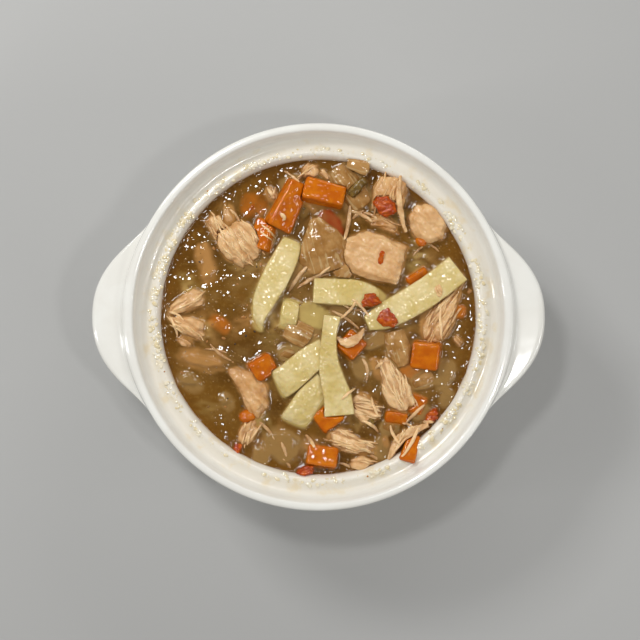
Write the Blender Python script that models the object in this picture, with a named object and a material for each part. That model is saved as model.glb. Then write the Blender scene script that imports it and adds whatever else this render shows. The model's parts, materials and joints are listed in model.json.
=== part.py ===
"""A bowl of chicken noodle soup: a white stoneware bowl with two lug handles, the broth up to its
level, and each noodle, chicken piece, carrot, onion and tomato piece that stands out of the broth.

Lengths are in millimetres here and become metres when a mesh is made. The origin is the centre of
the foot's underside, +Z is up, and the handles lie along X. A piece's rise is its height above the
broth's surface."""

import random
from math import cos, hypot, pi, radians, sin

import bmesh
import bpy
from mathutils import Euler, Matrix, Vector

MM = 0.001  # metres in a millimetre
GAP = 0.35  # space kept between neighbours
MERGE = 0.002  # points nearer than this become one
FLAT_WITHIN = 1.0  # degrees within which two faces count as one
SHARP_OVER = 35.0  # degrees between faces from which an edge looks sharp

# Bowl
RIM_RADIUS = 90.0
HANDLE_REACH = 15.4  # how far a handle stands out past the rim
HANDLE_HALF_ANGLE = 31.0  # degrees from a handle's middle to where it has faded into the rim
HANDLE_SHOULDER = 1.22  # above 1, the handle's end is broader
RIM_HEIGHT = 70.0
FOOT_RADIUS = 48.0
FOOT_WIDTH = 6.0
BOWL_SIDES = 44

# Broth
LEVEL = 57.5
BROTH_FLAT_WITHIN = 3.0  # the same for the hollows in the broth

# Food
NOODLE_THICKNESS = 1.5
SHRED_THICKNESS = 1.7
ONION_THICKNESS = 1.7
CARROT_EDGE = 0.8  # how far a carrot's edges are worn round
WALL_REACH = 66.0  # pieces that reach past this radius are fitted to the bowl's wall
ROOM_OVER = 5.0  # how far above the rim the space for food goes on

# Outside of the bowl from the foot up to the rim's underside, as (radius, height)
OUTSIDE = (
    (FOOT_RADIUS - FOOT_WIDTH - 1.0, 1.8),
    (FOOT_RADIUS - FOOT_WIDTH, 0.0),
    (FOOT_RADIUS, 0.0),
    (FOOT_RADIUS + 0.8, 2.2),
    (53.5, 5.6),
    (64.0, 14.5),
    (73.4, 28.0),
    (79.2, 44.0),
    (81.8, 53.5),
)
# Rim and handle from underneath round to the crest, as (radius, share of the handle's reach, height)
RIM = (
    (85.6, 0.06, 57.0),
    (87.4, 0.48, 58.9),
    (89.2, 0.92, 60.2),
    (RIM_RADIUS, 1.00, 63.4),
    (89.9, 0.92, 65.9),
    (89.9, 0.42, 66.4),
    (89.8, 0.13, 66.9),
    (89.2, 0.06, 69.0),
    (87.6, 0.00, RIM_HEIGHT),
)
# Inside of the bowl from the crest down: the groove that seats a lid, the ledge and the wall
INSIDE = (
    (85.8, 69.2),
    (84.5, 66.0),
    (83.3, 62.2),
    (81.2, 60.9),
    (78.4, 61.9),
    (76.6, 62.3),
    (75.2, 61.2),
    (74.2, 58.4),
    (72.6, 48.0),
    (65.5, 27.0),
    (44.0, 9.5),
)
INNER_FLOOR = 6.5
OUTER_FLOOR = 2.0

COLOURS = {  # base colour, roughness
    "stoneware": ((0.86, 0.85, 0.81), 0.25),
    "broth": ((0.13, 0.06, 0.018), 0.12),
    "noodle": ((0.72, 0.62, 0.30), 0.30),
    "chicken": ((0.66, 0.41, 0.20), 0.45),
    "carrot": ((0.62, 0.14, 0.01), 0.30),
    "onion": ((0.42, 0.30, 0.16), 0.25),
    "tomato": ((0.45, 0.06, 0.015), 0.25),
    "celery": ((0.20, 0.15, 0.04), 0.35),
}

# Noodles: stations along the middle of the ribbon, as (x, y, rise, width, roll in degrees)
NOODLES = {
    "noodle_top": (
        (6.4, 0.6, 3.6, 8.8, 24),
        (4.8, -9.0, 4.6, 8.0, 30),
        (4.6, -20.0, 4.4, 9.8, 22),
        (6.4, -29.0, 3.8, 11.6, 12),
        (8.9, -37.6, 3.3, 13.2, 4),
        (9.8, -46.2, 2.8, 14.4, 0),
    ),
    "noodle_fold": (
        (3.6, -15.8, 1.3, 12.6, 0),
        (-3.2, -19.6, 2.4, 13.0, 0),
        (-10.0, -25.2, 3.2, 13.6, 0),
        (-15.2, -29.6, 2.8, 14.0, 0),
        (-18.5, -31.6, 1.0, 14.2, 0),
        (-19.5, -32.1, -2.2, 13.6, 0),
    ),
    "noodle_curl": (
        (3.6, -31.0, 0.6, 12.6, -6),
        (-3.8, -38.0, 1.7, 13.0, -10),
        (-8.6, -45.0, 2.3, 13.4, -14),
        (-11.2, -48.8, 1.2, 13.4, -14),
        (-12.2, -50.2, -1.8, 13.0, -10),
    ),
    "noodle_right": (
        (22.6, -3.0, 1.7, 7.0, 0),
        (31.2, 0.6, 2.3, 12.6, -4),
        (42.9, 6.8, 2.9, 14.0, -6),
        (54.6, 14.4, 3.3, 14.0, -4),
        (65.2, 22.8, 3.7, 13.8, 0),
    ),
    "noodle_mid": (
        (-2.4, 12.4, 2.6, 12.0, -12),
        (7.7, 11.9, 3.2, 12.6, -10),
        (17.6, 11.3, 2.6, 12.4, -8),
        (25.2, 9.4, 1.2, 10.0, -4),
        (30.6, 6.8, -0.6, 7.0, 0),
    ),
    "noodle_left": (
        (-12.2, 36.2, 0.6, 9.0, 0),
        (-15.2, 28.6, 2.0, 12.0, 6),
        (-19.5, 19.7, 3.0, 13.2, 8),
        (-23.7, 11.7, 2.9, 12.0, 12),
        (-26.6, 5.2, 2.5, 10.4, 22),
        (-28.6, -0.6, 1.6, 8.4, 36),
        (-28.6, -6.4, -1.0, 6.4, 44),
    ),
    "noodle_arch": (
        (-12.4, 8.2, -0.4, 8.0, 0),
        (-13.2, 4.6, 1.8, 8.4, 0),
        (-13.9, -0.6, 2.2, 8.4, 0),
        (-14.8, -5.8, -0.2, 8.0, 0),
    ),
}

# Long shreds of chicken: stations as (x, y, rise, width)
SHREDS = {
    "shred_strand": (
        (38.4, 66.0, 6.3, 1.2),
        (37.4, 58.0, 6.6, 2.6),
        (38.4, 49.0, 5.4, 2.7),
        (40.8, 39.6, 2.4, 1.6),
    ),
    "shred_crescent": (
        (8.4, -9.4, 4.4, 1.2),
        (12.6, -12.0, 4.6, 4.8),
        (17.8, -10.2, 4.4, 4.4),
        (21.4, -5.4, 3.6, 1.0),
    ),
    "shred_fork": (
        (51.4, -50.4, 3.2, 2.4),
        (44.4, -53.0, 4.4, 4.2),
        (38.4, -56.6, 4.2, 4.4),
        (35.0, -61.8, 3.4, 3.8),
        (32.6, -66.8, 3.4, 1.6),
    ),
}

# Lumps of chicken and tomato. size is (length, width), turn is the length's angle, rise and depth
# are the top and the bottom, square is the outline's superellipse power, taper narrows the far end
# and bend bows the length.
LUMPS = {
    "tomato_on_chicken": dict(
        kind="tomato", at=(31.0, 51.6), size=(13.0, 10.0), turn=-35, rise=6.7, depth=-3.4
    ),
    "tomato_mid": dict(
        kind="tomato", at=(24.2, 7.2), size=(10.6, 7.8), turn=15, rise=5.2, depth=-0.5, bend=1.2
    ),
    "tomato_right": dict(
        kind="tomato", at=(32.6, -1.0), size=(12.0, 9.4), turn=-25, rise=5.6, depth=-1.0, taper=0.3
    ),
    "chicken_breast": dict(
        at=(25.2, 28.6), size=(33.5, 24), turn=-18, rise=5.4, depth=3.6, square=3.2, taper=-0.18, tilt=3
    ),
    "chicken_cube": dict(
        at=(33.0, 57.6), size=(19, 18), turn=78, rise=6.0, depth=3.4, square=4.0, taper=0.1
    ),
    "chicken_big": dict(
        at=(-37.4, 34.2), size=(23, 20.5), turn=-38, rise=5.6, depth=3.6, square=2.8, tilt=-4
    ),
    "chicken_big_side": dict(
        at=(-46.8, 40.4), size=(17, 9.0), turn=-64, rise=4.2, depth=3.0, taper=0.2
    ),
    "chicken_right": dict(
        at=(51.6, 43.6), size=(23, 18.5), turn=-48, rise=4.8, depth=3.4, square=2.9, taper=0.12
    ),
    "chicken_torn": dict(
        at=(35.4, -31.4), size=(28.5, 14), turn=-68, rise=4.8, depth=3.2, square=2.4, taper=-0.34
    ),
    "chicken_spiky": dict(
        at=(57.6, 0.4), size=(31, 15.6), turn=-124, rise=3.4, depth=3.0, square=2.3, taper=-0.45
    ),
    "chicken_bean": dict(
        at=(-32.6, -35.2), size=(30, 14.6), turn=-62, rise=3.8, depth=3.4, taper=-0.08, bend=2.6
    ),
    "chicken_tail": dict(
        at=(-33.0, -53.6), size=(14.5, 8.6), turn=64, rise=3.4, depth=3.0, square=3.0, taper=0.15
    ),
    "chicken_upper_leaf": dict(
        at=(-62.2, 6.6), size=(21, 9.6), turn=30, rise=4.4, depth=3.0, square=2.4, taper=-0.45
    ),
    "chicken_lower_leaf": dict(
        at=(-62.0, -4.0), size=(21, 9.8), turn=-25, rise=4.2, depth=3.0, square=2.6, taper=-0.45
    ),
    "chicken_flakes": dict(
        at=(22.0, -43.4), size=(17.0, 14.4), turn=-65, rise=3.0, depth=3.0, square=2.8
    ),
    "chicken_low": dict(
        at=(15.6, -58.8), size=(25.5, 11.6), turn=-16, rise=4.0, depth=3.2, taper=0.2, bend=-0.8
    ),
    "chicken_brown": dict(
        at=(30.6, 43.4), size=(17, 8.2), turn=-16, rise=2.4, depth=3.0, bend=1.2
    ),
    "chicken_top": dict(
        at=(-3.9, 68.0), size=(9.8, 9.0), turn=40, rise=3.4, depth=3.0, square=2.5
    ),
    "chicken_tip": dict(
        at=(-41.8, 48.0), size=(10, 8.6), turn=98, rise=1.6, depth=3.0, taper=0.5
    ),
    "chicken_bit": dict(
        at=(-22.2, 57.4), size=(9.4, 7.4), turn=-60, rise=1.8, depth=2.5
    ),
    "chicken_flake_edge": dict(
        at=(20.6, -68.8), size=(13.0, 7.4), turn=-6, rise=3.6, depth=1.5, taper=0.2
    ),
    "tomato_skin": dict(
        kind="tomato", at=(6.0, 42.8), size=(19, 11), turn=-62, rise=1.0, depth=3.0, square=2.6
    ),
    "tomato_edge": dict(
        kind="tomato", at=(-6.6, -72.2), size=(10.4, 5.6), turn=22, rise=4.6, depth=-0.2
    ),
    "tomato_right_edge": dict(
        kind="tomato", at=(53.0, -46.6), size=(9.4, 6.4), turn=52, rise=3.4, depth=2.0
    ),
    "onion_mottled": dict(
        kind="onion", at=(33.4, -51.6), size=(11, 9), turn=30, rise=1.2, depth=3.0, square=3.0
    ),
}
# Levels of a lump below its top one, as (share of its height, share of its outline)
LUMP_LEVELS = ((0.78, 0.93), (0.36, 1.0), (0.0, 0.66))
LUMP_SIDES, LUMP_PER_SIDE = 6, 8.5  # the fewest corners, and the length that adds one more
LUMP_CROWN = 0.05  # how far the middle of a lump's top stands over its top level, as a share of height
LUMP_UNEVEN = 0.05  # how far a corner strays from its level, as a share of height
LUMP_WOBBLE = 0.04  # how far a corner strays from its outline, as a share of its reach
LUMP_STRAY = 0.25  # how far a corner strays round the outline, as a share of the step to the next
TOP_NARROW, TOP_PER_SQUARE, TOP_WIDE = 0.32, 0.13, 0.84  # the top level's share of the outline

# Cut pieces of carrot and celery. size is (length, width, height), turn, tip and roll are angles in
# degrees about Z, Y and X, rise is the height of the middle, and taper narrows the far end.
DICE = {
    "carrot_wedge": dict(at=(-14.4, 52.4), rise=1.0, size=(24, 12.4, 9), turn=64, roll=24, taper=0.2),
    "carrot_slab": dict(at=(2.6, 57.8), rise=2.2, size=(19.5, 11, 7.5), turn=-14, roll=-18, taper=0.1),
    "carrot_dark_side": dict(at=(-26.0, 38.6), rise=0.4, size=(14, 11, 9), turn=70, roll=-20, taper=0.2),
    "carrot_right": dict(at=(50.3, -17.8), rise=0.9, size=(13, 12.6, 9), turn=-8, roll=10, tip=-8),
    "carrot_middle": dict(at=(15.2, -13.4), rise=-0.4, size=(11, 10.6, 8), turn=48, tip=10),
    "carrot_left": dict(at=(-26.4, -23.4), rise=-0.2, size=(11.4, 10, 8), turn=32, roll=14, tip=8),
    "carrot_low": dict(at=(4.8, -46.8), rise=-0.8, size=(12, 10.6, 8), turn=38, tip=-8),
    "carrot_bottom": dict(at=(1.7, -65.4), rise=1.2, size=(14.4, 9.6, 7.5), turn=-8, roll=-12),
    "carrot_ledge": dict(at=(43.0, -61.4), rise=3.4, size=(13.4, 8.2, 5.5), turn=72, tip=9, taper=0.3),
    "carrot_sliver": dict(at=(46.6, 18.6), rise=-0.8, size=(11, 6.4, 5), turn=34, roll=20),
    "carrot_sunken": dict(at=(44.6, -40.4), rise=-1.5, size=(11, 9.4, 6), turn=-22),
    "carrot_pale_bit": dict(at=(36.6, -47.0), rise=-0.4, size=(10.6, 5.6, 5), turn=-8, roll=15),
    "celery_stub": dict(at=(18.2, 60.6), rise=3.7, size=(10.4, 4.2, 3.4), turn=46, tip=-8, kind="celery"),
}

# Curved layers of onion. size is (length, width), crown is the height of the arch across it, sag
# the drop at its two ends and close the share of the width left at its narrow end.
LAYERS = {
    "onion_petal": dict(at=(1.6, 34.6), rise=5.2, size=(24, 27), turn=-75, crown=4.4, sag=2.6, close=0.16),
    "onion_petal_small": dict(at=(13.2, 22.6), rise=2.8, size=(11, 9), turn=-138, crown=1.2, sag=0.8),
    "onion_striped_top": dict(at=(14.4, 61.6), rise=2.4, size=(21, 16), turn=-56, crown=2.6, sag=1.4, close=0.7),
    "onion_striped_right": dict(at=(37.4, -14.2), rise=2.6, size=(16, 12), turn=-74, crown=2.0, sag=1.0, close=0.8),
    "onion_square": dict(at=(-9.8, -7.4), rise=2.2, size=(12, 11.4), turn=-28, crown=1.0, sag=0.6, close=0.85),
    "onion_ledge": dict(at=(18.0, 70.6), rise=5.3, size=(10.2, 6.8), turn=-14, crown=0.9, sag=0.5, close=0.6),
    "onion_curl": dict(at=(48.6, -29.8), rise=1.9, size=(10, 9), turn=25, crown=2.6, sag=1.2, close=0.6),
}
LAYER_STATIONS, LAYER_COLUMNS = 4, 5
LAYER_TONGUE = 0.08  # how far the wide end stands out at its middle, as a share of the length


def clear_scene():
    for thing in list(bpy.data.objects):
        bpy.data.objects.remove(thing, do_unlink=True)


def make_materials():
    materials = {}
    for name, (colour, roughness) in COLOURS.items():
        material = bpy.data.materials.new(name)
        material.use_nodes = True
        shader = material.node_tree.nodes["Principled BSDF"]
        shader.inputs["Base Color"].default_value = (*colour, 1.0)
        shader.inputs["Roughness"].default_value = roughness
        shader.inputs["Metallic"].default_value = 0.0
        materials[name] = material
    return materials


def lerp(a, b, t):
    return a + (b - a) * t


def loft(rings, start=None, end=None, folded=False):
    """A closed body over rings of points. Each end is closed round its middle or a given point, or,
    where a ring runs out along one side and back along the other, straight across from side to side."""
    bm = bmesh.new()
    rows = [[bm.verts.new(point) for point in ring] for ring in rings]
    sides = len(rings[0])
    for lower, upper in zip(rows, rows[1:]):
        for i in range(sides):
            j = (i + 1) % sides
            bm.faces.new((lower[i], lower[j], upper[j], upper[i]))
    for row, ring, tip in ((rows[0], rings[0], start), (rows[-1], rings[-1], end)):
        if folded:
            for i in range(sides // 2 - 1):
                bm.faces.new((row[i], row[i + 1], row[sides - 2 - i], row[sides - 1 - i]))
            continue
        middle = bm.verts.new(tip or sum((Vector(p) for p in ring), Vector()) / sides)
        for i in range(sides):
            bm.faces.new((row[i], row[(i + 1) % sides], middle))
    bmesh.ops.recalc_face_normals(bm, faces=bm.faces)
    bmesh.ops.triangulate(bm, faces=bm.faces)
    return bm


def along(stations, count):
    """Points on a smooth curve through the stations, which it takes evenly."""
    last = len(stations) - 1
    points = []
    for step in range(count):
        place = step / (count - 1) * last
        i = min(int(place), last - 1)
        t = place - i
        quad = [stations[min(max(i + k, 0), last)] for k in (-1, 0, 1, 2)]
        points.append(
            [
                0.5 * (2 * b + (c - a) * t + (2 * a - 5 * b + 4 * c - d) * t**2 + (3 * b - a - 3 * c + d) * t**3)
                for a, b, c, d in zip(*quad)
            ]
        )
    return points


def handle_share(angle):
    """How much of its reach a handle has at this angle round the bowl, from 0 to 1."""
    off = abs((angle + pi / 2) % pi - pi / 2)
    part = off / radians(HANDLE_HALF_ANGLE)
    return cos(pi / 2 * part**HANDLE_SHOULDER) ** 2 if part < 1 else 0.0


def turned(profile, grow=0.0):
    """Rings for a profile of (radius, handle share, height), moved inwards by grow."""
    rings = []
    for radius, share, height in profile:
        ring = []
        for i in range(BOWL_SIDES):
            angle = 2 * pi * i / BOWL_SIDES
            reach = radius + share * HANDLE_REACH * handle_share(angle) - grow
            ring.append((reach * cos(angle), reach * sin(angle), height))
        rings.append(ring)
    return rings


def bowl_body():
    outside = [(radius, 0.0, height) for radius, height in OUTSIDE]
    inside = [(radius, 0.0, height) for radius, height in INSIDE]
    rings = turned(outside + list(RIM) + inside)
    return loft(rings, start=(0, 0, OUTER_FLOOR), end=(0, 0, INNER_FLOOR))


def room_body(top):
    """The space inside the bowl up to a height, clear of its wall, ledge and groove."""
    inside = [(radius, height + GAP) for radius, height in reversed(INSIDE)] + [(INSIDE[0][0], top + GAP)]
    below = [point for point in inside if point[1] < top]
    (low_radius, low), (high_radius, high) = below[-1], inside[len(below)]
    below.append((lerp(low_radius, high_radius, (top - low) / (high - low)), top))
    profile = [(radius, 0.0, height) for radius, height in below]
    return loft(turned(profile, grow=GAP), start=(0, 0, INNER_FLOOR + GAP), end=(0, 0, top))


def ribbon_body(stations, thickness, count):
    """A flat ribbon along stations of (x, y, rise, width, roll)."""
    points = along(stations, count)
    rings = []
    for i, (x, y, rise, width, roll) in enumerate(points):
        before, after = points[max(i - 1, 0)], points[min(i + 1, count - 1)]
        forward = (Vector(after[:3]) - Vector(before[:3])).normalized()
        level_side = forward.cross(Vector((0, 0, 1))).normalized()
        side = Matrix.Rotation(radians(roll), 3, forward) @ level_side
        up = side.cross(forward)
        middle = Vector((x, y, LEVEL + rise))
        corners = ((0.5, 0.5), (-0.5, 0.5), (-0.5, -0.5), (0.5, -0.5))
        rings.append([middle + side * width * a + up * thickness * b for a, b in corners])
    return loft(rings, folded=True)


def lump_body(at, size, turn, rise, depth, square=2.2, taper=0.0, bend=0.0, tilt=0.0, seed=0, kind=""):
    """A torn or crushed lump: a superellipse outline stacked in levels, each corner a little uneven."""
    chance = random.Random(seed)
    sides = LUMP_SIDES + int(size[0] / LUMP_PER_SIDE)
    corners = []
    for i in range(sides):
        angle = 2 * pi * (i + chance.uniform(-LUMP_STRAY, LUMP_STRAY)) / sides
        reach = (abs(cos(angle)) ** square + abs(sin(angle)) ** square) ** (-1 / square)
        reach *= chance.uniform(0.9, 1.06)
        x, y = reach * cos(angle), reach * sin(angle)
        corners.append((x * size[0] / 2, y * size[1] / 2 * (1 - taper * x) + bend * (1 - 2 * x * x)))
    height = rise + depth
    place = Matrix.Rotation(radians(turn), 3, "Z")
    rings = []
    top_spread = min(TOP_WIDE, TOP_NARROW + TOP_PER_SQUARE * square)
    for share, spread in ((1.0, top_spread), *LUMP_LEVELS):
        ring = []
        for x, y in corners:
            lift = chance.uniform(-LUMP_UNEVEN, LUMP_UNEVEN) * height + x * tilt / 100 * share
            wobble = spread * (1 + chance.uniform(-LUMP_WOBBLE, LUMP_WOBBLE))
            spot = place @ Vector((x * wobble, y * wobble, 0))
            level = LEVEL - depth + height * share * (1 - LUMP_CROWN)
            ring.append((at[0] + spot.x, at[1] + spot.y, level + lift))
        rings.append(ring)
    return loft(rings, start=(*at, LEVEL + rise), end=(*at, LEVEL - depth))


def dice_body(at, rise, size, turn, tip=0.0, roll=0.0, taper=0.0, kind=""):
    """A piece cut with flat faces, narrower at its far end, with softened edges."""
    bm = bmesh.new()
    bmesh.ops.create_cube(bm, size=1.0)
    for vert in bm.verts:
        narrow = 1 - taper * (vert.co.x + 0.5)
        vert.co = Vector((vert.co.x * size[0], vert.co.y * size[1] * narrow, vert.co.z * size[2] * narrow))
    bmesh.ops.bevel(bm, geom=bm.edges[:], offset=CARROT_EDGE, segments=1, affect="EDGES")
    turned_to = Euler((radians(roll), radians(tip), radians(turn))).to_matrix().to_4x4()
    bmesh.ops.transform(bm, matrix=Matrix.Translation((*at, LEVEL + rise)) @ turned_to, verts=bm.verts)
    bmesh.ops.recalc_face_normals(bm, faces=bm.faces)
    bm = ordered(bm)
    bmesh.ops.triangulate(bm, faces=bm.faces)
    return bm


def layer_body(at, rise, size, turn, crown, sag, close=0.4):
    """A layer of an onion: arched across its width, lower at its ends, narrower at its root end."""
    place = Matrix.Translation((*at, LEVEL + rise)) @ Matrix.Rotation(radians(turn), 4, "Z")
    rings = []
    for station in range(LAYER_STATIONS):
        t = station / (LAYER_STATIONS - 1)
        width = size[1] * lerp(close, 1.0, sin(t * pi / 2) ** 0.9)
        drop = sag * (2 * t - 1) ** 2
        arch = crown * width / size[1]
        over, under = [], []
        for column in range(LAYER_COLUMNS):
            s = 2 * column / (LAYER_COLUMNS - 1) - 1
            x = size[0] * (t - 0.5 + LAYER_TONGUE * t * (1 - s * s))
            point = Vector((x, s * width / 2, -drop - arch * s * s))
            lean = Vector((0, 2 * arch * s / max(width, 1), 1)).normalized() * ONION_THICKNESS / 2
            over.append(place @ (point + lean))
            under.append(place @ (point - lean))
        rings.append(over + under[::-1])
    return loft(rings, folded=True)


def inflated(bm, grow, most=2.5):
    """A copy of a body with each face moved out by grow, and a sharp corner by at most so many times that."""
    copy = bm.copy()
    copy.normal_update()
    moved = [v.co + v.normal * grow * min(v.calc_shell_factor(), most) for v in copy.verts]
    for vert, spot in zip(copy.verts, moved):
        vert.co = spot
    return copy


def bounds(bm):
    low = Vector(min(v.co[k] for v in bm.verts) for k in range(3))
    high = Vector(max(v.co[k] for v in bm.verts) for k in range(3))
    return low, high


def meet(a, b):
    """Whether two bodies' boxes meet."""
    (low_a, high_a), (low_b, high_b) = bounds(a), bounds(b)
    return all(low_a[k] < high_b[k] + GAP and low_b[k] < high_a[k] + GAP for k in range(3))


def islands(bm):
    """The faces of each separate body."""
    bm.faces.index_update()
    seen = [False] * len(bm.faces)
    found = []
    for first in bm.faces:
        if seen[first.index]:
            continue
        seen[first.index] = True
        island = [first]
        for face in island:  # grows as neighbours are added
            for edge in face.edges:
                for other in edge.link_faces:
                    if not seen[other.index]:
                        seen[other.index] = True
                        island.append(other)
        found.append(island)
    return found


def volume(faces):
    """The volume that a closed body's faces hold."""
    total = 0.0
    for face in faces:
        first, *rest = (v.co for v in face.verts)
        total += sum(first.dot(b.cross(c)) for b, c in zip(rest, rest[1:])) / 6
    return total


def ordered(bm):
    """The same body with its points and faces in an order that depends only on where they lie."""
    spots = sorted(bm.verts, key=lambda v: v.co.to_tuple(3))
    place = {vert: i for i, vert in enumerate(spots)}
    outlines = []
    for face in bm.faces:
        corners = [place[vert] for vert in face.verts]
        first = corners.index(min(corners))
        outlines.append(corners[first:] + corners[:first])
    fresh = bmesh.new()
    verts = [fresh.verts.new(vert.co) for vert in spots]
    for outline in sorted(outlines):
        fresh.faces.new([verts[i] for i in outline])
    fresh.normal_update()
    return fresh


def boolean(bm, cutter, operation):
    """The body after a Boolean with a cutter, as its largest single body."""
    holders = []
    for source, label in ((bm, "worked"), (cutter, "cutter")):
        mesh = bpy.data.meshes.new(label)
        source.to_mesh(mesh)
        holder = bpy.data.objects.new(label, mesh)
        bpy.context.scene.collection.objects.link(holder)
        holders.append(holder)
    worked, tool = holders
    modifier = worked.modifiers.new("cut", "BOOLEAN")
    modifier.object = tool
    modifier.operation = operation
    modifier.solver = "EXACT"
    result = bmesh.new()
    result.from_mesh(worked.evaluated_get(bpy.context.evaluated_depsgraph_get()).to_mesh())
    for holder in holders:
        bpy.data.meshes.remove(holder.data)
    bmesh.ops.remove_doubles(result, verts=result.verts, dist=MERGE)
    bmesh.ops.dissolve_degenerate(result, dist=MERGE, edges=result.edges)
    bodies = islands(result)
    largest = max(bodies, key=volume)
    spare = [face for faces in bodies if faces is not largest for face in faces]
    bmesh.ops.delete(result, geom=spare, context="FACES")
    return ordered(result)


def food_bodies():
    """Every piece of food as (name, material, body), those that lie on top first."""
    bodies = []
    for name, stations in NOODLES.items():
        bodies.append((name, "noodle", ribbon_body(stations, NOODLE_THICKNESS, 3 * len(stations) - 3)))
    for name, stations in SHREDS.items():
        flat = [(*station, 0) for station in stations]
        bodies.append((name, "chicken", ribbon_body(flat, SHRED_THICKNESS, 2 * len(stations) + 1)))
    order = []
    for seed, (name, lump) in enumerate(LUMPS.items()):
        order.append((lump["rise"], name, lump.get("kind", "chicken"), lump_body(**lump, seed=seed)))
    for name, dice in DICE.items():
        top = dice["rise"] + dice["size"][2] / 2
        order.append((top, name, dice.get("kind", "carrot"), dice_body(**dice)))
    for name, layer in LAYERS.items():
        order.append((layer["rise"] + ONION_THICKNESS, name, "onion", layer_body(**layer)))
    order.sort(key=lambda entry: -entry[0])
    return bodies + [entry[1:] for entry in order]


def fitted(bodies):
    """The pieces, each cut clear of the bowl and of the pieces before it, and what cuts room for them."""
    room = room_body(RIM_HEIGHT + ROOM_OVER)
    pieces, cutters = [], []
    for name, material, body in bodies:
        cutter = inflated(body, GAP)
        if max(hypot(v.co.x, v.co.y) for v in body.verts) > WALL_REACH:
            body = boolean(body, room, "INTERSECT")
        for earlier in cutters:
            if meet(body, earlier):
                body = boolean(body, earlier, "DIFFERENCE")
        pieces.append((name, material, body))
        cutters.append(cutter)
    return pieces, cutters


def broth_body(cutters):
    """The broth up to its level, with the pieces' hollows in it."""
    broth = room_body(LEVEL)
    for cutter in cutters:
        if bounds(cutter)[0].z < LEVEL:
            broth = boolean(broth, cutter, "DIFFERENCE")
    return broth


def add_node(name, bm, material, flat_within=FLAT_WITHIN):
    bmesh.ops.dissolve_limit(bm, angle_limit=radians(flat_within), verts=bm.verts, edges=bm.edges)
    bmesh.ops.triangulate(bm, faces=bm.faces)
    mesh = bpy.data.meshes.new(name)
    bmesh.ops.scale(bm, vec=(MM, MM, MM), verts=bm.verts)
    bm.to_mesh(mesh)
    mesh.materials.append(material)
    mesh.shade_smooth()
    mesh.set_sharp_from_angle(angle=radians(SHARP_OVER))
    node = bpy.data.objects.new(name, mesh)
    bpy.context.scene.collection.objects.link(node)
    return node


def main():
    clear_scene()
    materials = make_materials()
    pieces, cutters = fitted(food_bodies())
    add_node("broth", broth_body(cutters), materials["broth"], BROTH_FLAT_WITHIN)
    add_node("bowl", bowl_body(), materials["stoneware"])
    for name, kind, body in pieces:
        add_node(name, body, materials[kind])
    print(len(bpy.data.objects), "nodes,", sum(len(o.data.polygons) for o in bpy.data.objects), "triangles")


main()
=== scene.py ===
import json
import math
import random

import bmesh
import bpy
import numpy as np
from mathutils import Matrix, Vector
from mathutils.bvhtree import BVHTree

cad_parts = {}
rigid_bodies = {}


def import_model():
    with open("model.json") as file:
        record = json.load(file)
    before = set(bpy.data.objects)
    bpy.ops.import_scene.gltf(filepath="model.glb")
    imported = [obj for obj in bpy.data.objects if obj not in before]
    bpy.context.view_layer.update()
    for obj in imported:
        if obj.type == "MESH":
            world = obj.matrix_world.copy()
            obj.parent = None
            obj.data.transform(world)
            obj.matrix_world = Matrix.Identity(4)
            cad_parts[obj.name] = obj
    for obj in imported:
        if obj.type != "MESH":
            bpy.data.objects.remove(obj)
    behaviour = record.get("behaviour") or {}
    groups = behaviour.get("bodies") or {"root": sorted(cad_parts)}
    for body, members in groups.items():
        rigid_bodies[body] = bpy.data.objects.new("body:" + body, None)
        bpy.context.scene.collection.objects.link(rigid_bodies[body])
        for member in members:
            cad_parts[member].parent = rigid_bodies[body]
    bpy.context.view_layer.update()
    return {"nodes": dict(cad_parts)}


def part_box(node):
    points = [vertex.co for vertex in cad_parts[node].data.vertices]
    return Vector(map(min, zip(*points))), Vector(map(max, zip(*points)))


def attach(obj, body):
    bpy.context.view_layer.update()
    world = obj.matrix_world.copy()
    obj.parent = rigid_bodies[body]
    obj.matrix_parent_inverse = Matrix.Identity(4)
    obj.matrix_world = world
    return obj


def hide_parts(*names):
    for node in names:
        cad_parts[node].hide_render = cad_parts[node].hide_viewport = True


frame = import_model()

mm = 0.001
nodes = frame["nodes"]
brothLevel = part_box("broth")[1].z
bowlLow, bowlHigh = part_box("bowl")
rimRadius = bowlHigh.y
handleReach = bowlHigh.x - rimRadius
print("soup: frame loaded,", len(nodes), "nodes")


# ---- small tools for node trees ----

def rgb(red, green, blue):
    # a colour given as 0-255 display values, as the linear colour a shader wants
    share = [value / 255 for value in (red, green, blue)]
    return (*[s / 12.92 if s <= 0.04045 else ((s + 0.055) / 1.055) ** 2.4 for s in share], 1.0)


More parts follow.
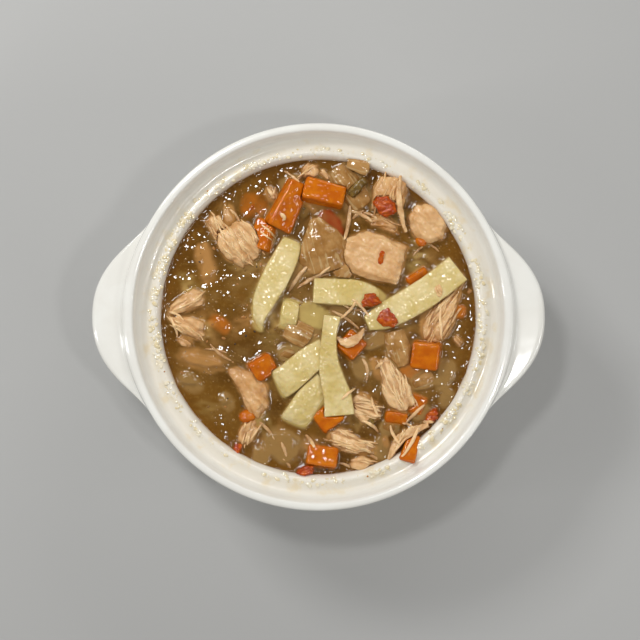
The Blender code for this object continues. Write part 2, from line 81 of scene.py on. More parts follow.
class nodeMaker:
    # adds nodes to a tree; inputs are given in order as numbers, nodes or sockets, and None is skipped
    def __init__(self, tree):
        self.tree = tree

    def add(self, kind, *inputs, **settings):
        node = self.tree.nodes.new(kind)
        for name, value in settings.items():
            setattr(node, name, value)
        sockets = [socket for socket in node.inputs if socket.enabled]
        for socket, value in zip(sockets, inputs):
            self.feed(socket, value)
        return node

    def feed(self, socket, value):
        if isinstance(value, bpy.types.Node):
            value = next(out for out in value.outputs if out.enabled)
        if isinstance(value, bpy.types.NodeSocket):
            self.tree.links.new(value, socket)
        elif value is not None:
            socket.default_value = value

    def math(self, operation, *inputs, **settings):
        return self.add("ShaderNodeMath", *inputs, operation=operation, **settings)

    def vector(self, operation, *inputs):
        node = self.add("ShaderNodeVectorMath", operation=operation)
        sockets = [socket for socket in node.inputs if socket.enabled]
        for socket, value in zip(sockets, inputs):
            self.feed(socket, value)
        return node

    def ramp(self, value, low, high, toLow=0.0, toHigh=1.0):
        node = self.add("ShaderNodeMapRange", value, low, high, toLow, toHigh)
        node.interpolation_type = "SMOOTHSTEP"
        return node

    def mix(self, factor, a, b, blend="MIX"):
        node = self.add("ShaderNodeMix", data_type="RGBA", blend_type=blend)
        for name, value in (("Factor_Float", factor), ("A_Color", a), ("B_Color", b)):
            self.feed(next(s for s in node.inputs if s.identifier == name), value)
        return next(s for s in node.outputs if s.identifier == "Result_Color")

    def noise(self, at, scale, detail=2.0, roughness=0.5, **settings):
        node = self.add("ShaderNodeTexNoise", **settings)
        self.feed(node.inputs["Vector"], at)
        self.feed(node.inputs["Scale"], scale)
        node.inputs["Detail"].default_value = detail
        node.inputs["Roughness"].default_value = roughness
        return node.outputs["Fac"] if "Fac" in node.outputs else node.outputs[0]


def newTree(name, kind, inputs, outputs=()):
    # a node group with named inputs, given as (name, socket type, value)
    tree = bpy.data.node_groups.new(name, kind)
    face = tree.interface
    if kind == "GeometryNodeTree":
        face.new_socket("Geometry", in_out="INPUT", socket_type="NodeSocketGeometry")
        face.new_socket("Geometry", in_out="OUTPUT", socket_type="NodeSocketGeometry")
    for label, socketType, value in inputs:
        socket = face.new_socket(label, in_out="INPUT", socket_type=socketType)
        if value is not None:
            socket.default_value = value
    for label, socketType in outputs:
        face.new_socket(label, in_out="OUTPUT", socket_type=socketType)
    maker = nodeMaker(tree)
    return tree, maker, maker.add("NodeGroupInput").outputs, maker.add("NodeGroupOutput").inputs


def addTree(piece, tree, **values):
    # a Geometry Nodes modifier with its inputs set by the sockets' identifiers
    modifier = piece.modifiers.new(tree.name, "NODES")
    modifier.node_group = tree
    for item in tree.interface.items_tree:
        if item.in_out == "INPUT" and item.name in values:
            modifier[item.identifier] = values[item.name]
    return modifier


def applied(piece):
    # the piece with its modifiers turned into a plain mesh
    graph = bpy.context.evaluated_depsgraph_get()
    mesh = bpy.data.meshes.new_from_object(piece.evaluated_get(graph), preserve_all_data_layers=True, depsgraph=graph)
    piece.modifiers.clear()
    before, piece.data = piece.data, mesh
    bpy.data.meshes.remove(before)
    mesh.name = piece.name
    return piece


def newPiece(name, mesh):
    piece = bpy.data.objects.new(name, mesh)
    bpy.context.scene.collection.objects.link(piece)
    return piece


def meshOf(name, points, faces, smooth=True):
    mesh = bpy.data.meshes.new(name)
    mesh.from_pydata([tuple(p) for p in points], [], [tuple(f) for f in faces])
    if smooth:
        mesh.shade_smooth()
    return mesh


def pointsOf(mesh):
    flat = np.empty(len(mesh.vertices) * 3, np.float32)
    mesh.vertices.foreach_get("co", flat)
    return flat.reshape(-1, 3)


def dress(piece, material, slot, *replaced):
    piece.data.materials.clear()
    piece.data.materials.append(material)
    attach(piece, "root")
    if replaced:
        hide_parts(*replaced)
    return piece


# ---- shared shader groups ----

def makeMottle():
    # a soft-edged mask of blotches
    tree, make, given, result = newTree(
        "mottle",
        "ShaderNodeTree",
        [("Vector", "NodeSocketVector", None), ("Size mm", "NodeSocketFloat", 4.0),
         ("Low", "NodeSocketFloat", 0.4), ("High", "NodeSocketFloat", 0.6)],
        [("Mask", "NodeSocketFloat")],
    )
    scale = make.math("DIVIDE", 1 / mm, given["Size mm"])
    pattern = make.noise(given["Vector"], scale, 4.0, 0.55)
    make.feed(result["Mask"], make.ramp(pattern, given["Low"], given["High"]))
    return tree


def makeSoak():
    # how deep a point sits in the broth's reach: 1 at the broth, 0 well above it, with an uneven edge
    tree, make, given, result = newTree(
        "soak",
        "ShaderNodeTree",
        [("Vector", "NodeSocketVector", None), ("Level", "NodeSocketFloat", brothLevel),
         ("Reach mm", "NodeSocketFloat", 2.5)],
        [("Mask", "NodeSocketFloat")],
    )
    height = make.math("SUBTRACT", make.add("ShaderNodeSeparateXYZ", given["Vector"]).outputs["Z"], given["Level"])
    uneven = make.math("MULTIPLY_ADD", make.noise(given["Vector"], 260.0, 3.0), 3.0 * mm, -1.5 * mm)
    reach = make.math("MULTIPLY", given["Reach mm"], mm)
    share = make.math("DIVIDE", make.math("ADD", height, uneven), reach)
    make.feed(result["Mask"], make.ramp(share, 1.0, -0.1))
    return tree


def makeFineGrain():
    # heights of a fine uneven surface, stretched along the X of the given vector
    tree, make, given, result = newTree(
        "fineGrain",
        "ShaderNodeTree",
        [("Vector", "NodeSocketVector", None), ("Size mm", "NodeSocketFloat", 0.8),
         ("Stretch", "NodeSocketFloat", 1.0)],
        [("Height", "NodeSocketFloat")],
    )
    stretched = make.vector("MULTIPLY", given["Vector"], make.add("ShaderNodeCombineXYZ", given["Stretch"], 1.0, 1.0))
    scale = make.math("DIVIDE", 1 / mm, given["Size mm"])
    coarse = make.noise(stretched, scale, 3.0, 0.6)
    fine = make.noise(stretched, make.math("MULTIPLY", scale, 3.1), 2.0)
    make.feed(result["Height"], make.math("MULTIPLY_ADD", fine, 0.35, coarse))
    return tree


def makeWetFilm():
    # heights of a thin film of liquid: smooth swells with no fine grain, so that lamps show in it as sharp glints
    tree, make, given, result = newTree(
        "wetFilm",
        "ShaderNodeTree",
        [("Vector", "NodeSocketVector", None), ("Size mm", "NodeSocketFloat", 2.2)],
        [("Height", "NodeSocketFloat")],
    )
    scale = make.math("DIVIDE", 1 / mm, given["Size mm"])
    make.feed(result["Height"], make.noise(given["Vector"], scale, 0.0))
    return tree


mottle, soak, fineGrain, wetFilm = makeMottle(), makeSoak(), makeFineGrain(), makeWetFilm()


def newMaterial(name, roughness, coat=0.0, coatRoughness=0.05, specular=0.5, subsurface=0.0, ior=1.45):
    # a Principled material, its maker, its shader and the object's own coordinates
    material = bpy.data.materials.new(name)
    material.use_nodes = True
    shader = material.node_tree.nodes["Principled BSDF"]
    shader.inputs["Roughness"].default_value = roughness
    shader.inputs["IOR"].default_value = ior
    shader.inputs["Specular IOR Level"].default_value = specular
    shader.inputs["Coat Weight"].default_value = coat
    shader.inputs["Coat Roughness"].default_value = coatRoughness
    if subsurface:
        shader.inputs["Subsurface Weight"].default_value = subsurface
        shader.inputs["Subsurface Radius"].default_value = (1.0, 0.5, 0.25)
        shader.inputs["Subsurface Scale"].default_value = 1.2 * mm
    make = nodeMaker(material.node_tree)
    at = make.add("ShaderNodeTexCoord").outputs["Object"]
    return material, make, shader, at


def useGroup(make, group, **values):
    node = make.add("ShaderNodeGroup", node_tree=group)
    for name, value in values.items():
        make.feed(node.inputs[name.replace("_", " ")], value)
    return node.outputs[0]


def setBump(make, shader, height, strength, distance=0.3 * mm):
    bump = make.add("ShaderNodeBump")
    bump.inputs["Strength"].default_value = strength
    bump.inputs["Distance"].default_value = distance
    make.feed(bump.inputs["Height"], height)
    make.feed(shader.inputs["Normal"], bump)


def attribute(make, name, output="Fac"):
    return make.add("ShaderNodeAttribute", attribute_name=name).outputs[output]


# ---- bowl ----

bowl = dict(
    sides=300,
    halfAngle=math.radians(31),  # from a handle's middle to where it has faded into the rim
    shoulder=1.22,
    rounds=3,  # times that the profile's corners are cut
    # radius, share of the handle's reach, height, in mm from the foot's underside round to the inner floor
    profile=(
        (0, 0, 2.0), (20, 0, 2.0), (40.6, 0, 1.9), (41.8, 0, 0.0), (42.4, 0, 0.0), (47.6, 0, 0.0), (48.4, 0, 0.0),
        (48.8, 0, 2.2), (53.5, 0, 5.6), (64, 0, 14.5), (73.4, 0, 28), (79.2, 0, 44), (81.8, 0, 53.5),
        (85.2, 0.04, 57.2), (87.4, 0.46, 58.9), (89.2, 0.93, 60.2), (90.05, 1.0, 61.6), (90.05, 1.0, 64.4),
        (89.7, 0.94, 66.1), (89.9, 0.62, 66.3), (90.0, 0.22, 66.4), (89.9, 0.10, 67.0), (89.6, 0.06, 69.2),
        (88.9, 0.02, 70.0), (87.2, 0, 70.15), (85.9, 0, 69.6), (85.1, 0, 67.6), (84.3, 0, 64.6), (83.2, 0, 61.8),
        (81.2, 0, 60.6), (78.8, 0, 61.6), (77.2, 0, 62.35), (76.0, 0, 62.2), (74.7, 0, 61.2), (73.7, 0, 59.2),
        (73.2, 0, 54), (72.6, 0, 48), (65.5, 0, 27), (44, 0, 9.5), (20, 0, 6.5), (0, 0, 6.5),
    ),
)


def cutCorners(points, rounds):
    # a smooth line from a polygon: each corner is cut a few times over
    for _ in range(rounds):
        inner = []
        for a, b in zip(points, points[1:]):
            inner += [0.75 * a + 0.25 * b, 0.25 * a + 0.75 * b]
        points = [points[0], *inner, points[-1]]
    return points


def makeTurnedTree():
    # turns a profile round Z; its points' "share" says how far each follows the handle's reach
    tree, make, given, result = newTree("turnedBowl", "GeometryNodeTree", [
        ("Sides", "NodeSocketInt", 360), ("Handle Reach", "NodeSocketFloat", 0.015),
        ("Half Angle", "NodeSocketFloat", 0.5), ("Shoulder", "NodeSocketFloat", 1.0),
        ("Material", "NodeSocketMaterial", None)])
    count = make.add("GeometryNodeAttributeDomainSize", given["Geometry"], component="MESH").outputs["Point Count"]
    grid = make.add("GeometryNodeMeshGrid", 1.0, 1.0, make.math("ADD", given["Sides"], 1), count)
    index = make.add("GeometryNodeInputIndex")
    column = make.math("FLOOR", make.math("DIVIDE", make.math("ADD", index, 0.5), count))
    row = make.math("SUBTRACT", index, make.math("MULTIPLY", column, count))
    angle = make.math("DIVIDE", make.math("MULTIPLY", column, 2 * math.pi), given["Sides"])
    place = make.add("GeometryNodeSampleIndex", given["Geometry"], make.add("GeometryNodeInputPosition"), row,
                     data_type="FLOAT_VECTOR")
    shareField = make.add("GeometryNodeInputNamedAttribute", "share", data_type="FLOAT")
    share = make.add("GeometryNodeSampleIndex", given["Geometry"], shareField, row, data_type="FLOAT")
    off = make.math("ABSOLUTE", make.math("WRAP", angle, math.pi / 2, -math.pi / 2))
    part = make.math("MINIMUM", make.math("DIVIDE", off, given["Half Angle"]), 1.0)
    turn = make.math("MULTIPLY", make.math("POWER", part, given["Shoulder"]), math.pi / 2)
    handle = make.math("POWER", make.math("COSINE", turn), 2.0)
    reach = make.math("MULTIPLY", make.math("MULTIPLY", handle, share), given["Handle Reach"])
    spot = make.add("ShaderNodeSeparateXYZ", place)
    radius = make.math("ADD", spot.outputs["X"], reach)
    around = make.add("ShaderNodeCombineXYZ", make.math("MULTIPLY", radius, make.math("COSINE", angle)),
                      make.math("MULTIPLY", radius, make.math("SINE", angle)), spot.outputs["Z"])
    placed = make.add("GeometryNodeSetPosition", grid.outputs["Mesh"], None, around)
    merged = make.add("GeometryNodeMergeByDistance", placed)
    merged.inputs["Distance"].default_value = 0.002 * mm
    smooth = make.add("GeometryNodeSetShadeSmooth", merged)
    make.feed(result["Geometry"], make.add("GeometryNodeSetMaterial", smooth, None, given["Material"]))
    return tree


def facedOutwards(mesh):
    bm = bmesh.new()
    bm.from_mesh(mesh)
    bmesh.ops.recalc_face_normals(bm, faces=bm.faces)
    bm.to_mesh(mesh)
    bm.free()


def glazeMaterial():
    material, make, shader, at = newMaterial("glaze", 0.16, coat=0.6, coatRoughness=0.04)
    spot = make.add("ShaderNodeSeparateXYZ", at)
    radius = make.math("SQRT", make.math("ADD", make.math("POWER", spot.outputs["X"], 2.0),
                                         make.math("POWER", spot.outputs["Y"], 2.0)))
    overBroth = make.ramp(spot.outputs["Z"], brothLevel - 0.8 * mm, brothLevel)
    inside = make.math("MULTIPLY", make.ramp(radius, 84.4 * mm, 82.0 * mm), overBroth)
    grease = make.math("MULTIPLY", inside, make.ramp(radius, 72.5 * mm, 75.0 * mm))
    body = make.mix(useGroup(make, mottle, Vector=at, Size_mm=18.0, Low=0.35, High=0.65),
                    rgb(238, 237, 230), rgb(233, 231, 223))
    body = make.mix(make.math("MULTIPLY", inside, 0.8), body, rgb(232, 224, 208))
    stain = make.math("MULTIPLY", grease, useGroup(make, mottle, Vector=at, Size_mm=7.0, Low=0.5, High=0.72))
    body = make.mix(make.math("MULTIPLY", stain, 0.55), body, rgb(226, 205, 160))
    tide = make.math("MULTIPLY", make.ramp(spot.outputs["Z"], brothLevel + 2.4 * mm, brothLevel + 0.4 * mm), inside)
    body = make.mix(make.math("MULTIPLY", tide, 0.55), body, rgb(196, 158, 98))
    make.feed(shader.inputs["Base Color"], body)
    wet = useGroup(make, fineGrain, Vector=at, Size_mm=1.5)
    band = make.math("MULTIPLY", make.ramp(radius, 74.6 * mm, 75.8 * mm), make.ramp(radius, 79.4 * mm, 77.8 * mm))
    patches = useGroup(make, mottle, Vector=at, Size_mm=16.0, Low=0.38, High=0.6)
    slow = make.math("MULTIPLY", make.noise(at, 45.0, 2.0), 0.9)
    height = make.math("ADD", slow, make.math("MULTIPLY", wet, make.math("MULTIPLY", band, patches)))
    setBump(make, shader, height, 0.55, 0.35 * mm)
    make.feed(shader.inputs["Roughness"], make.ramp(make.noise(at, 30.0, 2.0), 0.3, 0.7, 0.10, 0.2))
    return material


def makeBowl(material):
    line = cutCorners([np.array(p, float) for p in bowl["profile"]], bowl["rounds"])
    mesh = bpy.data.meshes.new("bowlGlazed")
    mesh.from_pydata([(r * mm, 0, z * mm) for r, _, z in line], [(i, i + 1) for i in range(len(line) - 1)], [])
    mesh.attributes.new("share", "FLOAT", "POINT").data.foreach_set("value", [share for _, share, _ in line])
    piece = newPiece("bowlGlazed", mesh)
    addTree(piece, makeTurnedTree(), Sides=bowl["sides"], **{
        "Handle Reach": handleReach, "Half Angle": bowl["halfAngle"], "Shoulder": bowl["shoulder"],
        "Material": material})
    applied(piece)
    facedOutwards(piece.data)
    piece.data.shade_smooth()
    return piece


glaze = glazeMaterial()
bowlPiece = makeBowl(glaze)
dress(bowlPiece, glaze, "stoneware", "bowl")
print("soup: bowl", len(bowlPiece.data.polygons), "faces")


# ---- noodles ----

noodles = dict(
    thickness=1.5,
    around=26,  # points round a section
    step=0.42,  # length between sections, in mm
    cup=0.35,  # how far the middle stands over the edges
    # middle line of each, as (x, y, rise over the broth, width, roll in degrees)
    lines={
        "noodle_top": (
            (6.4, 0.6, 3.6, 8.8, 24), (4.8, -9.0, 4.6, 8.0, 30), (4.6, -20.0, 4.4, 9.8, 22),
            (6.4, -29.0, 3.8, 11.6, 12), (8.9, -37.6, 3.3, 13.2, 4), (9.8, -46.2, 2.8, 14.4, 0),
        ),
        "noodle_fold": (
            (3.6, -15.8, 1.3, 12.6, 0), (-3.2, -19.6, 2.4, 13.0, 0), (-10.0, -25.2, 3.2, 13.6, 0),
            (-15.2, -29.6, 2.8, 14.0, 0), (-18.5, -31.6, 1.0, 14.2, 0), (-19.5, -32.1, -2.2, 13.6, 0),
        ),
        "noodle_curl": (
            (3.6, -31.0, 0.6, 12.6, -6), (-3.8, -38.0, 1.7, 13.0, -10), (-8.6, -45.0, 2.3, 13.4, -14),
            (-11.2, -48.8, 1.2, 13.4, -14), (-12.2, -50.2, -1.8, 13.0, -10),
        ),
        "noodle_right": (
            (22.6, -3.0, 1.7, 7.0, 0), (31.2, 0.6, 2.3, 12.6, -4), (42.9, 6.8, 2.9, 14.0, -6),
            (54.6, 14.4, 3.3, 14.0, -4), (65.2, 22.8, 3.7, 13.8, 0),
        ),
        "noodle_mid": (
            (-2.4, 12.4, 2.6, 12.0, -12), (7.7, 11.9, 3.2, 12.6, -10), (17.6, 11.3, 2.6, 12.4, -8),
            (25.2, 9.4, 1.2, 10.0, -4), (30.6, 6.8, -0.6, 7.0, 0),
        ),
        "noodle_left": (
            (-12.2, 36.2, 0.6, 9.0, 0), (-15.2, 28.6, 2.0, 12.0, 6), (-19.5, 19.7, 3.0, 13.2, 8),
            (-23.7, 11.7, 2.9, 12.0, 12), (-26.6, 5.2, 2.5, 10.4, 22), (-28.6, -0.6, 1.6, 8.4, 36),
            (-28.6, -6.4, -1.0, 6.4, 44),
        ),
        "noodle_arch": (
            (-12.4, 8.2, -0.4, 8.0, 0), (-13.2, 4.6, 1.8, 8.4, 0), (-13.9, -0.6, 2.2, 8.4, 0),
            (-14.8, -5.8, -0.2, 8.0, 0),
        ),
    },
)


def along(stations, count):
    # points on a smooth curve through the stations, which it takes evenly
    last = len(stations) - 1
    points = []
    for place in np.linspace(0, last, count):
        i = min(int(place), last - 1)
        t = place - i
        a, b, c, d = (np.array(stations[min(max(i + k, 0), last)], float) for k in (-1, 0, 1, 2))
        points.append(0.5 * (2 * b + (c - a) * t + (2 * a - 5 * b + 4 * c - d) * t**2
                             + (3 * b - a - 3 * c + d) * t**3))
    return points


def makeRibbonTree():
    # sweeps a flat section with round edges along a line whose points say how wide and which way up it is
    tree, make, given, result = newTree("noodleRibbon", "GeometryNodeTree", [
        ("Around", "NodeSocketInt", 24), ("Thickness", "NodeSocketFloat", 0.0015), ("Cup", "NodeSocketFloat", 0.0003),
        ("Edge Waver", "NodeSocketFloat", 0.03), ("Unevenness", "NodeSocketFloat", 0.00012),
        ("Seed", "NodeSocketFloat", 0.0), ("Material", "NodeSocketMaterial", None)])
    path = given["Geometry"]
    count = make.add("GeometryNodeAttributeDomainSize", path, component="MESH").outputs["Point Count"]
    grid = make.add("GeometryNodeMeshGrid", 1.0, 1.0, count, make.math("ADD", given["Around"], 1))
    rows = make.math("ADD", given["Around"], 1)
    index = make.add("GeometryNodeInputIndex")
    station = make.math("FLOOR", make.math("DIVIDE", make.math("ADD", index, 0.5), rows))
    corner = make.math("SUBTRACT", index, make.math("MULTIPLY", station, rows))
    angle = make.math("DIVIDE", make.math("MULTIPLY", corner, 2 * math.pi), given["Around"])

    def fromPath(field, dataType="FLOAT_VECTOR"):
        return make.add("GeometryNodeSampleIndex", path, field, station, data_type=dataType)

    def named(name, dataType="FLOAT_VECTOR"):
        field = make.add("GeometryNodeInputNamedAttribute", data_type=dataType)
        field.inputs["Name"].default_value = name
        return field

    middle = fromPath(make.add("GeometryNodeInputPosition"))
    side, up = fromPath(named("side")), fromPath(named("up"))
    width, thin = fromPath(named("width", "FLOAT"), "FLOAT"), fromPath(named("thin", "FLOAT"), "FLOAT")
    cosine, sine = make.math("COSINE", angle), make.math("SINE", angle)
    # a section squarer than an ellipse
    across = make.math("MULTIPLY", make.math("SIGN", cosine), make.math("POWER", make.math("ABSOLUTE", cosine), 0.45))
    over = make.math("MULTIPLY", make.math("SIGN", sine), make.math("POWER", make.math("ABSOLUTE", sine), 0.75))
    shifted = make.vector("ADD", middle, make.add("ShaderNodeCombineXYZ", given["Seed"], cosine, 0.0))
    waver = make.math("SUBTRACT", make.noise(shifted, 170.0, 2.0), 0.5)
    halfWidth = make.math("MULTIPLY", make.math("MULTIPLY", width, 0.5),
                          make.math("MULTIPLY_ADD", waver, given["Edge Waver"], 1.0))
    sideways = make.math("MULTIPLY", across, halfWidth)
    edge = make.math("ABSOLUTE", across)
    halfThick = make.math("MULTIPLY", make.math("MULTIPLY", given["Thickness"], 0.5), thin)
    lift = make.math("MULTIPLY", over, halfThick)
    cupped = make.math("SUBTRACT", lift, make.math("MULTIPLY", make.math("POWER", edge, 2.0), given["Cup"]))
    spot = make.vector("ADD", middle, make.vector("SCALE", side, None))
    make.feed(spot.inputs[1].links[0].from_node.inputs["Scale"], sideways)
    lifted = make.vector("SCALE", up, None)
    make.feed(lifted.inputs["Scale"], cupped)
    placed = make.add("GeometryNodeSetPosition", grid.outputs["Mesh"], None, make.vector("ADD", spot, lifted))
    marked = make.add("GeometryNodeStoreNamedAttribute", placed, data_type="FLOAT", domain="POINT")
    marked.inputs["Name"].default_value = "edge"
    make.feed(next(s for s in marked.inputs if s.name == "Value" and s.enabled), edge)
    merged = make.add("GeometryNodeMergeByDistance", marked)
    merged.inputs["Distance"].default_value = 0.004 * mm
    place = make.add("GeometryNodeInputPosition")
    seeded = make.vector("ADD", place, make.add("ShaderNodeCombineXYZ", given["Seed"], 0.0, 0.0))
    rough = make.math("SUBTRACT", make.noise(seeded, 420.0, 3.0), 0.5)
    slow = make.math("SUBTRACT", make.noise(seeded, 140.0, 2.0), 0.5)
    height = make.math("MULTIPLY", make.math("MULTIPLY_ADD", slow, 2.5, rough), given["Unevenness"])
    offset = make.vector("SCALE", make.add("GeometryNodeInputNormal"), None)
    make.feed(offset.inputs["Scale"], height)
    moved = make.add("GeometryNodeSetPosition", merged, None, None, offset)
    smooth = make.add("GeometryNodeSetShadeSmooth", moved)
    make.feed(result["Geometry"], make.add("GeometryNodeSetMaterial", smooth, None, given["Material"]))
    return tree


def noodleMaterial():
    material, make, shader, at = newMaterial("cookedNoodle", 0.08, subsurface=0.15)
    body = make.mix(useGroup(make, mottle, Vector=at, Size_mm=9.0, Low=0.35, High=0.65),
                    rgb(222, 202, 146), rgb(206, 182, 112))
    edge = make.ramp(attribute(make, "edge"), 0.9, 0.985)
    body = make.mix(make.math("MULTIPLY", edge, 0.5), body, rgb(160, 122, 56))
    flecks = useGroup(make, mottle, Vector=at, Size_mm=1.1, Low=0.66, High=0.72)
    body = make.mix(make.math("MULTIPLY", flecks, 0.35), body, rgb(160, 120, 60))
    wet = useGroup(make, soak, Vector=at, Reach_mm=1.5)
    body = make.mix(make.math("MULTIPLY", wet, 0.7), body, rgb(170, 130, 66))
    make.feed(shader.inputs["Base Color"], body)
    height = useGroup(make, wetFilm, Vector=at, Size_mm=2.1)
    setBump(make, shader, height, 1.0, 0.6 * mm)
    return material


def makeNoodle(node, stations, tree, material, seed):
    length = sum((Vector(b[:3]) - Vector(a[:3])).length for a, b in zip(stations, stations[1:]))
    points = along(stations, int(length / noodles["step"]))
    spots, sides, ups, widths, thins = [], [], [], [], []
    for i, (x, y, rise, width, roll) in enumerate(points):
        before, after = points[max(i - 1, 0)], points[min(i + 1, len(points) - 1)]
        forward = Vector(after[:3] - before[:3]).normalized()
        side = Matrix.Rotation(math.radians(roll), 3, forward) @ forward.cross(Vector((0, 0, 1))).normalized()
        fromEnd = min(i, len(points) - 1 - i) * noodles["step"] / 0.9
        spots.append((x * mm, y * mm, brothLevel + rise * mm))
        sides.append(side)
        ups.append(side.cross(forward))
        widths.append(width * mm)
        thins.append(math.sqrt(max(1 - (1 - fromEnd) ** 2, 0)) if fromEnd < 1 else 1.0)
    mesh = bpy.data.meshes.new(node)
    mesh.from_pydata(spots, [(i, i + 1) for i in range(len(spots) - 1)], [])
    for name, values, kind in (("side", sides, "FLOAT_VECTOR"), ("up", ups, "FLOAT_VECTOR"),
                               ("width", widths, "FLOAT"), ("thin", thins, "FLOAT")):
        field = mesh.attributes.new(name, kind, "POINT").data
        field.foreach_set("vector" if kind == "FLOAT_VECTOR" else "value", np.array(values, np.float32).ravel())
    piece = newPiece(camel(node), mesh)
    addTree(piece, tree, Around=noodles["around"], Thickness=noodles["thickness"] * mm, Cup=noodles["cup"] * mm,
            Seed=seed * 0.37, Material=material, **{"Edge Waver": 0.12})
    applied(piece)
    facedOutwards(piece.data)
    return dress(piece, material, "noodle", node)


def camel(name):
    first, *rest = name.split("_")
    return first + "".join(word.capitalize() for word in rest)


cookedNoodle = noodleMaterial()
ribbonTree = makeRibbonTree()
noodlePieces = [makeNoodle(node, stations, ribbonTree, cookedNoodle, seed)
                for seed, (node, stations) in enumerate(noodles["lines"].items())]
print("soup: noodles", sum(len(p.data.polygons) for p in noodlePieces), "faces")


# ---- chicken and vegetables ----

# grain's angle in degrees, how pale the meat is, how torn it is
chickenMeat = {
    "chicken_big": (-55, 0.5, 0.7), "chicken_big_side": (-60, 0.3, 1.0), "chicken_upper_leaf": (35, 0.45, 0.6),
    "chicken_lower_leaf": (-35, 0.4, 0.7), "chicken_breast": (-25, 0.35, 0.2), "chicken_cube": (75, 0.1, 0.42),
    "chicken_right": (-45, 0.35, 0.3), "chicken_torn": (-65, 0.8, 0.9), "chicken_spiky": (60, 0.3, 1.0),
    "chicken_bean": (-55, 0.1, 0.38), "chicken_tail": (65, 0.4, 0.9), "chicken_flakes": (-15, 0.6, 1.0),
    "chicken_low": (-20, 0.55, 1.0), "chicken_brown": (-16, 0.0, 0.5), "chicken_top": (40, 0.3, 0.6),
    "chicken_tip": (98, 0.3, 0.7), "chicken_bit": (-60, 0.3, 0.7), "chicken_flake_edge": (-6, 0.5, 0.9),
    "shred_strand": (-80, 0.6, 0.2), "shred_crescent": (10, 0.8, 0.2), "shred_fork": (-125, 0.6, 0.8),
}

# how each kind of food is shaped, lengths in mm
foodShapes = dict(
    chicken={"voxel": 0.42, "rounds": 12, "Fibre Spacing": 1.7, "Fibre Length": 8.0, "Fibre Depth": 0.34,
             "Bundle Size": 4.2, "Crease Depth": 1.0, "Lump Size": 7.0, "Lump Depth": 0.8},
    shred={"voxel": 0.3, "rounds": 6, "Fibre Spacing": 0.9, "Fibre Length": 9.0, "Fibre Depth": 0.28,
           "Bundle Size": 3.0, "Crease Depth": 0.3, "Lump Size": 5.0, "Lump Depth": 0.4},
    carrot={"voxel": 0.36, "rounds": 9, "Fibre Spacing": 1.4, "Fibre Length": 2.0, "Fibre Depth": 0.07,
            "Bundle Size": 6.0, "Crease Depth": 0.0, "Lump Size": 6.0, "Lump Depth": 0.35},
    onion={"voxel": 0.34, "rounds": 7, "Fibre Spacing": 1.1, "Fibre Length": 20.0, "Fibre Depth": 0.12,
           "Bundle Size": 6.0, "Crease Depth": 0.0, "Lump Size": 8.0, "Lump Depth": 0.7, "Straight Warp": 1.2},
    tomato={"voxel": 0.3, "rounds": 6, "Fibre Spacing": 1.3, "Fibre Length": 1.4, "Fibre Depth": 0.4,
            "Bundle Size": 3.0, "Crease Depth": 0.5, "Lump Size": 3.4, "Lump Depth": 0.8},
    celery={"voxel": 0.3, "rounds": 6, "Fibre Spacing": 0.8, "Fibre Length": 9.0, "Fibre Depth": 0.14,
            "Bundle Size": 3.0, "Crease Depth": 0.1, "Lump Size": 4.0, "Lump Depth": 0.2},
)

vegetableGrain = {
    "onion_petal": -75, "onion_petal_small": -138, "onion_striped_top": -56, "onion_striped_right": -74,
    "onion_square": -28, "onion_ledge": -14, "onion_curl": 25, "onion_mottled": 30, "celery_stub": 46,
    "carrot_wedge": 64, "carrot_slab": -14,
}


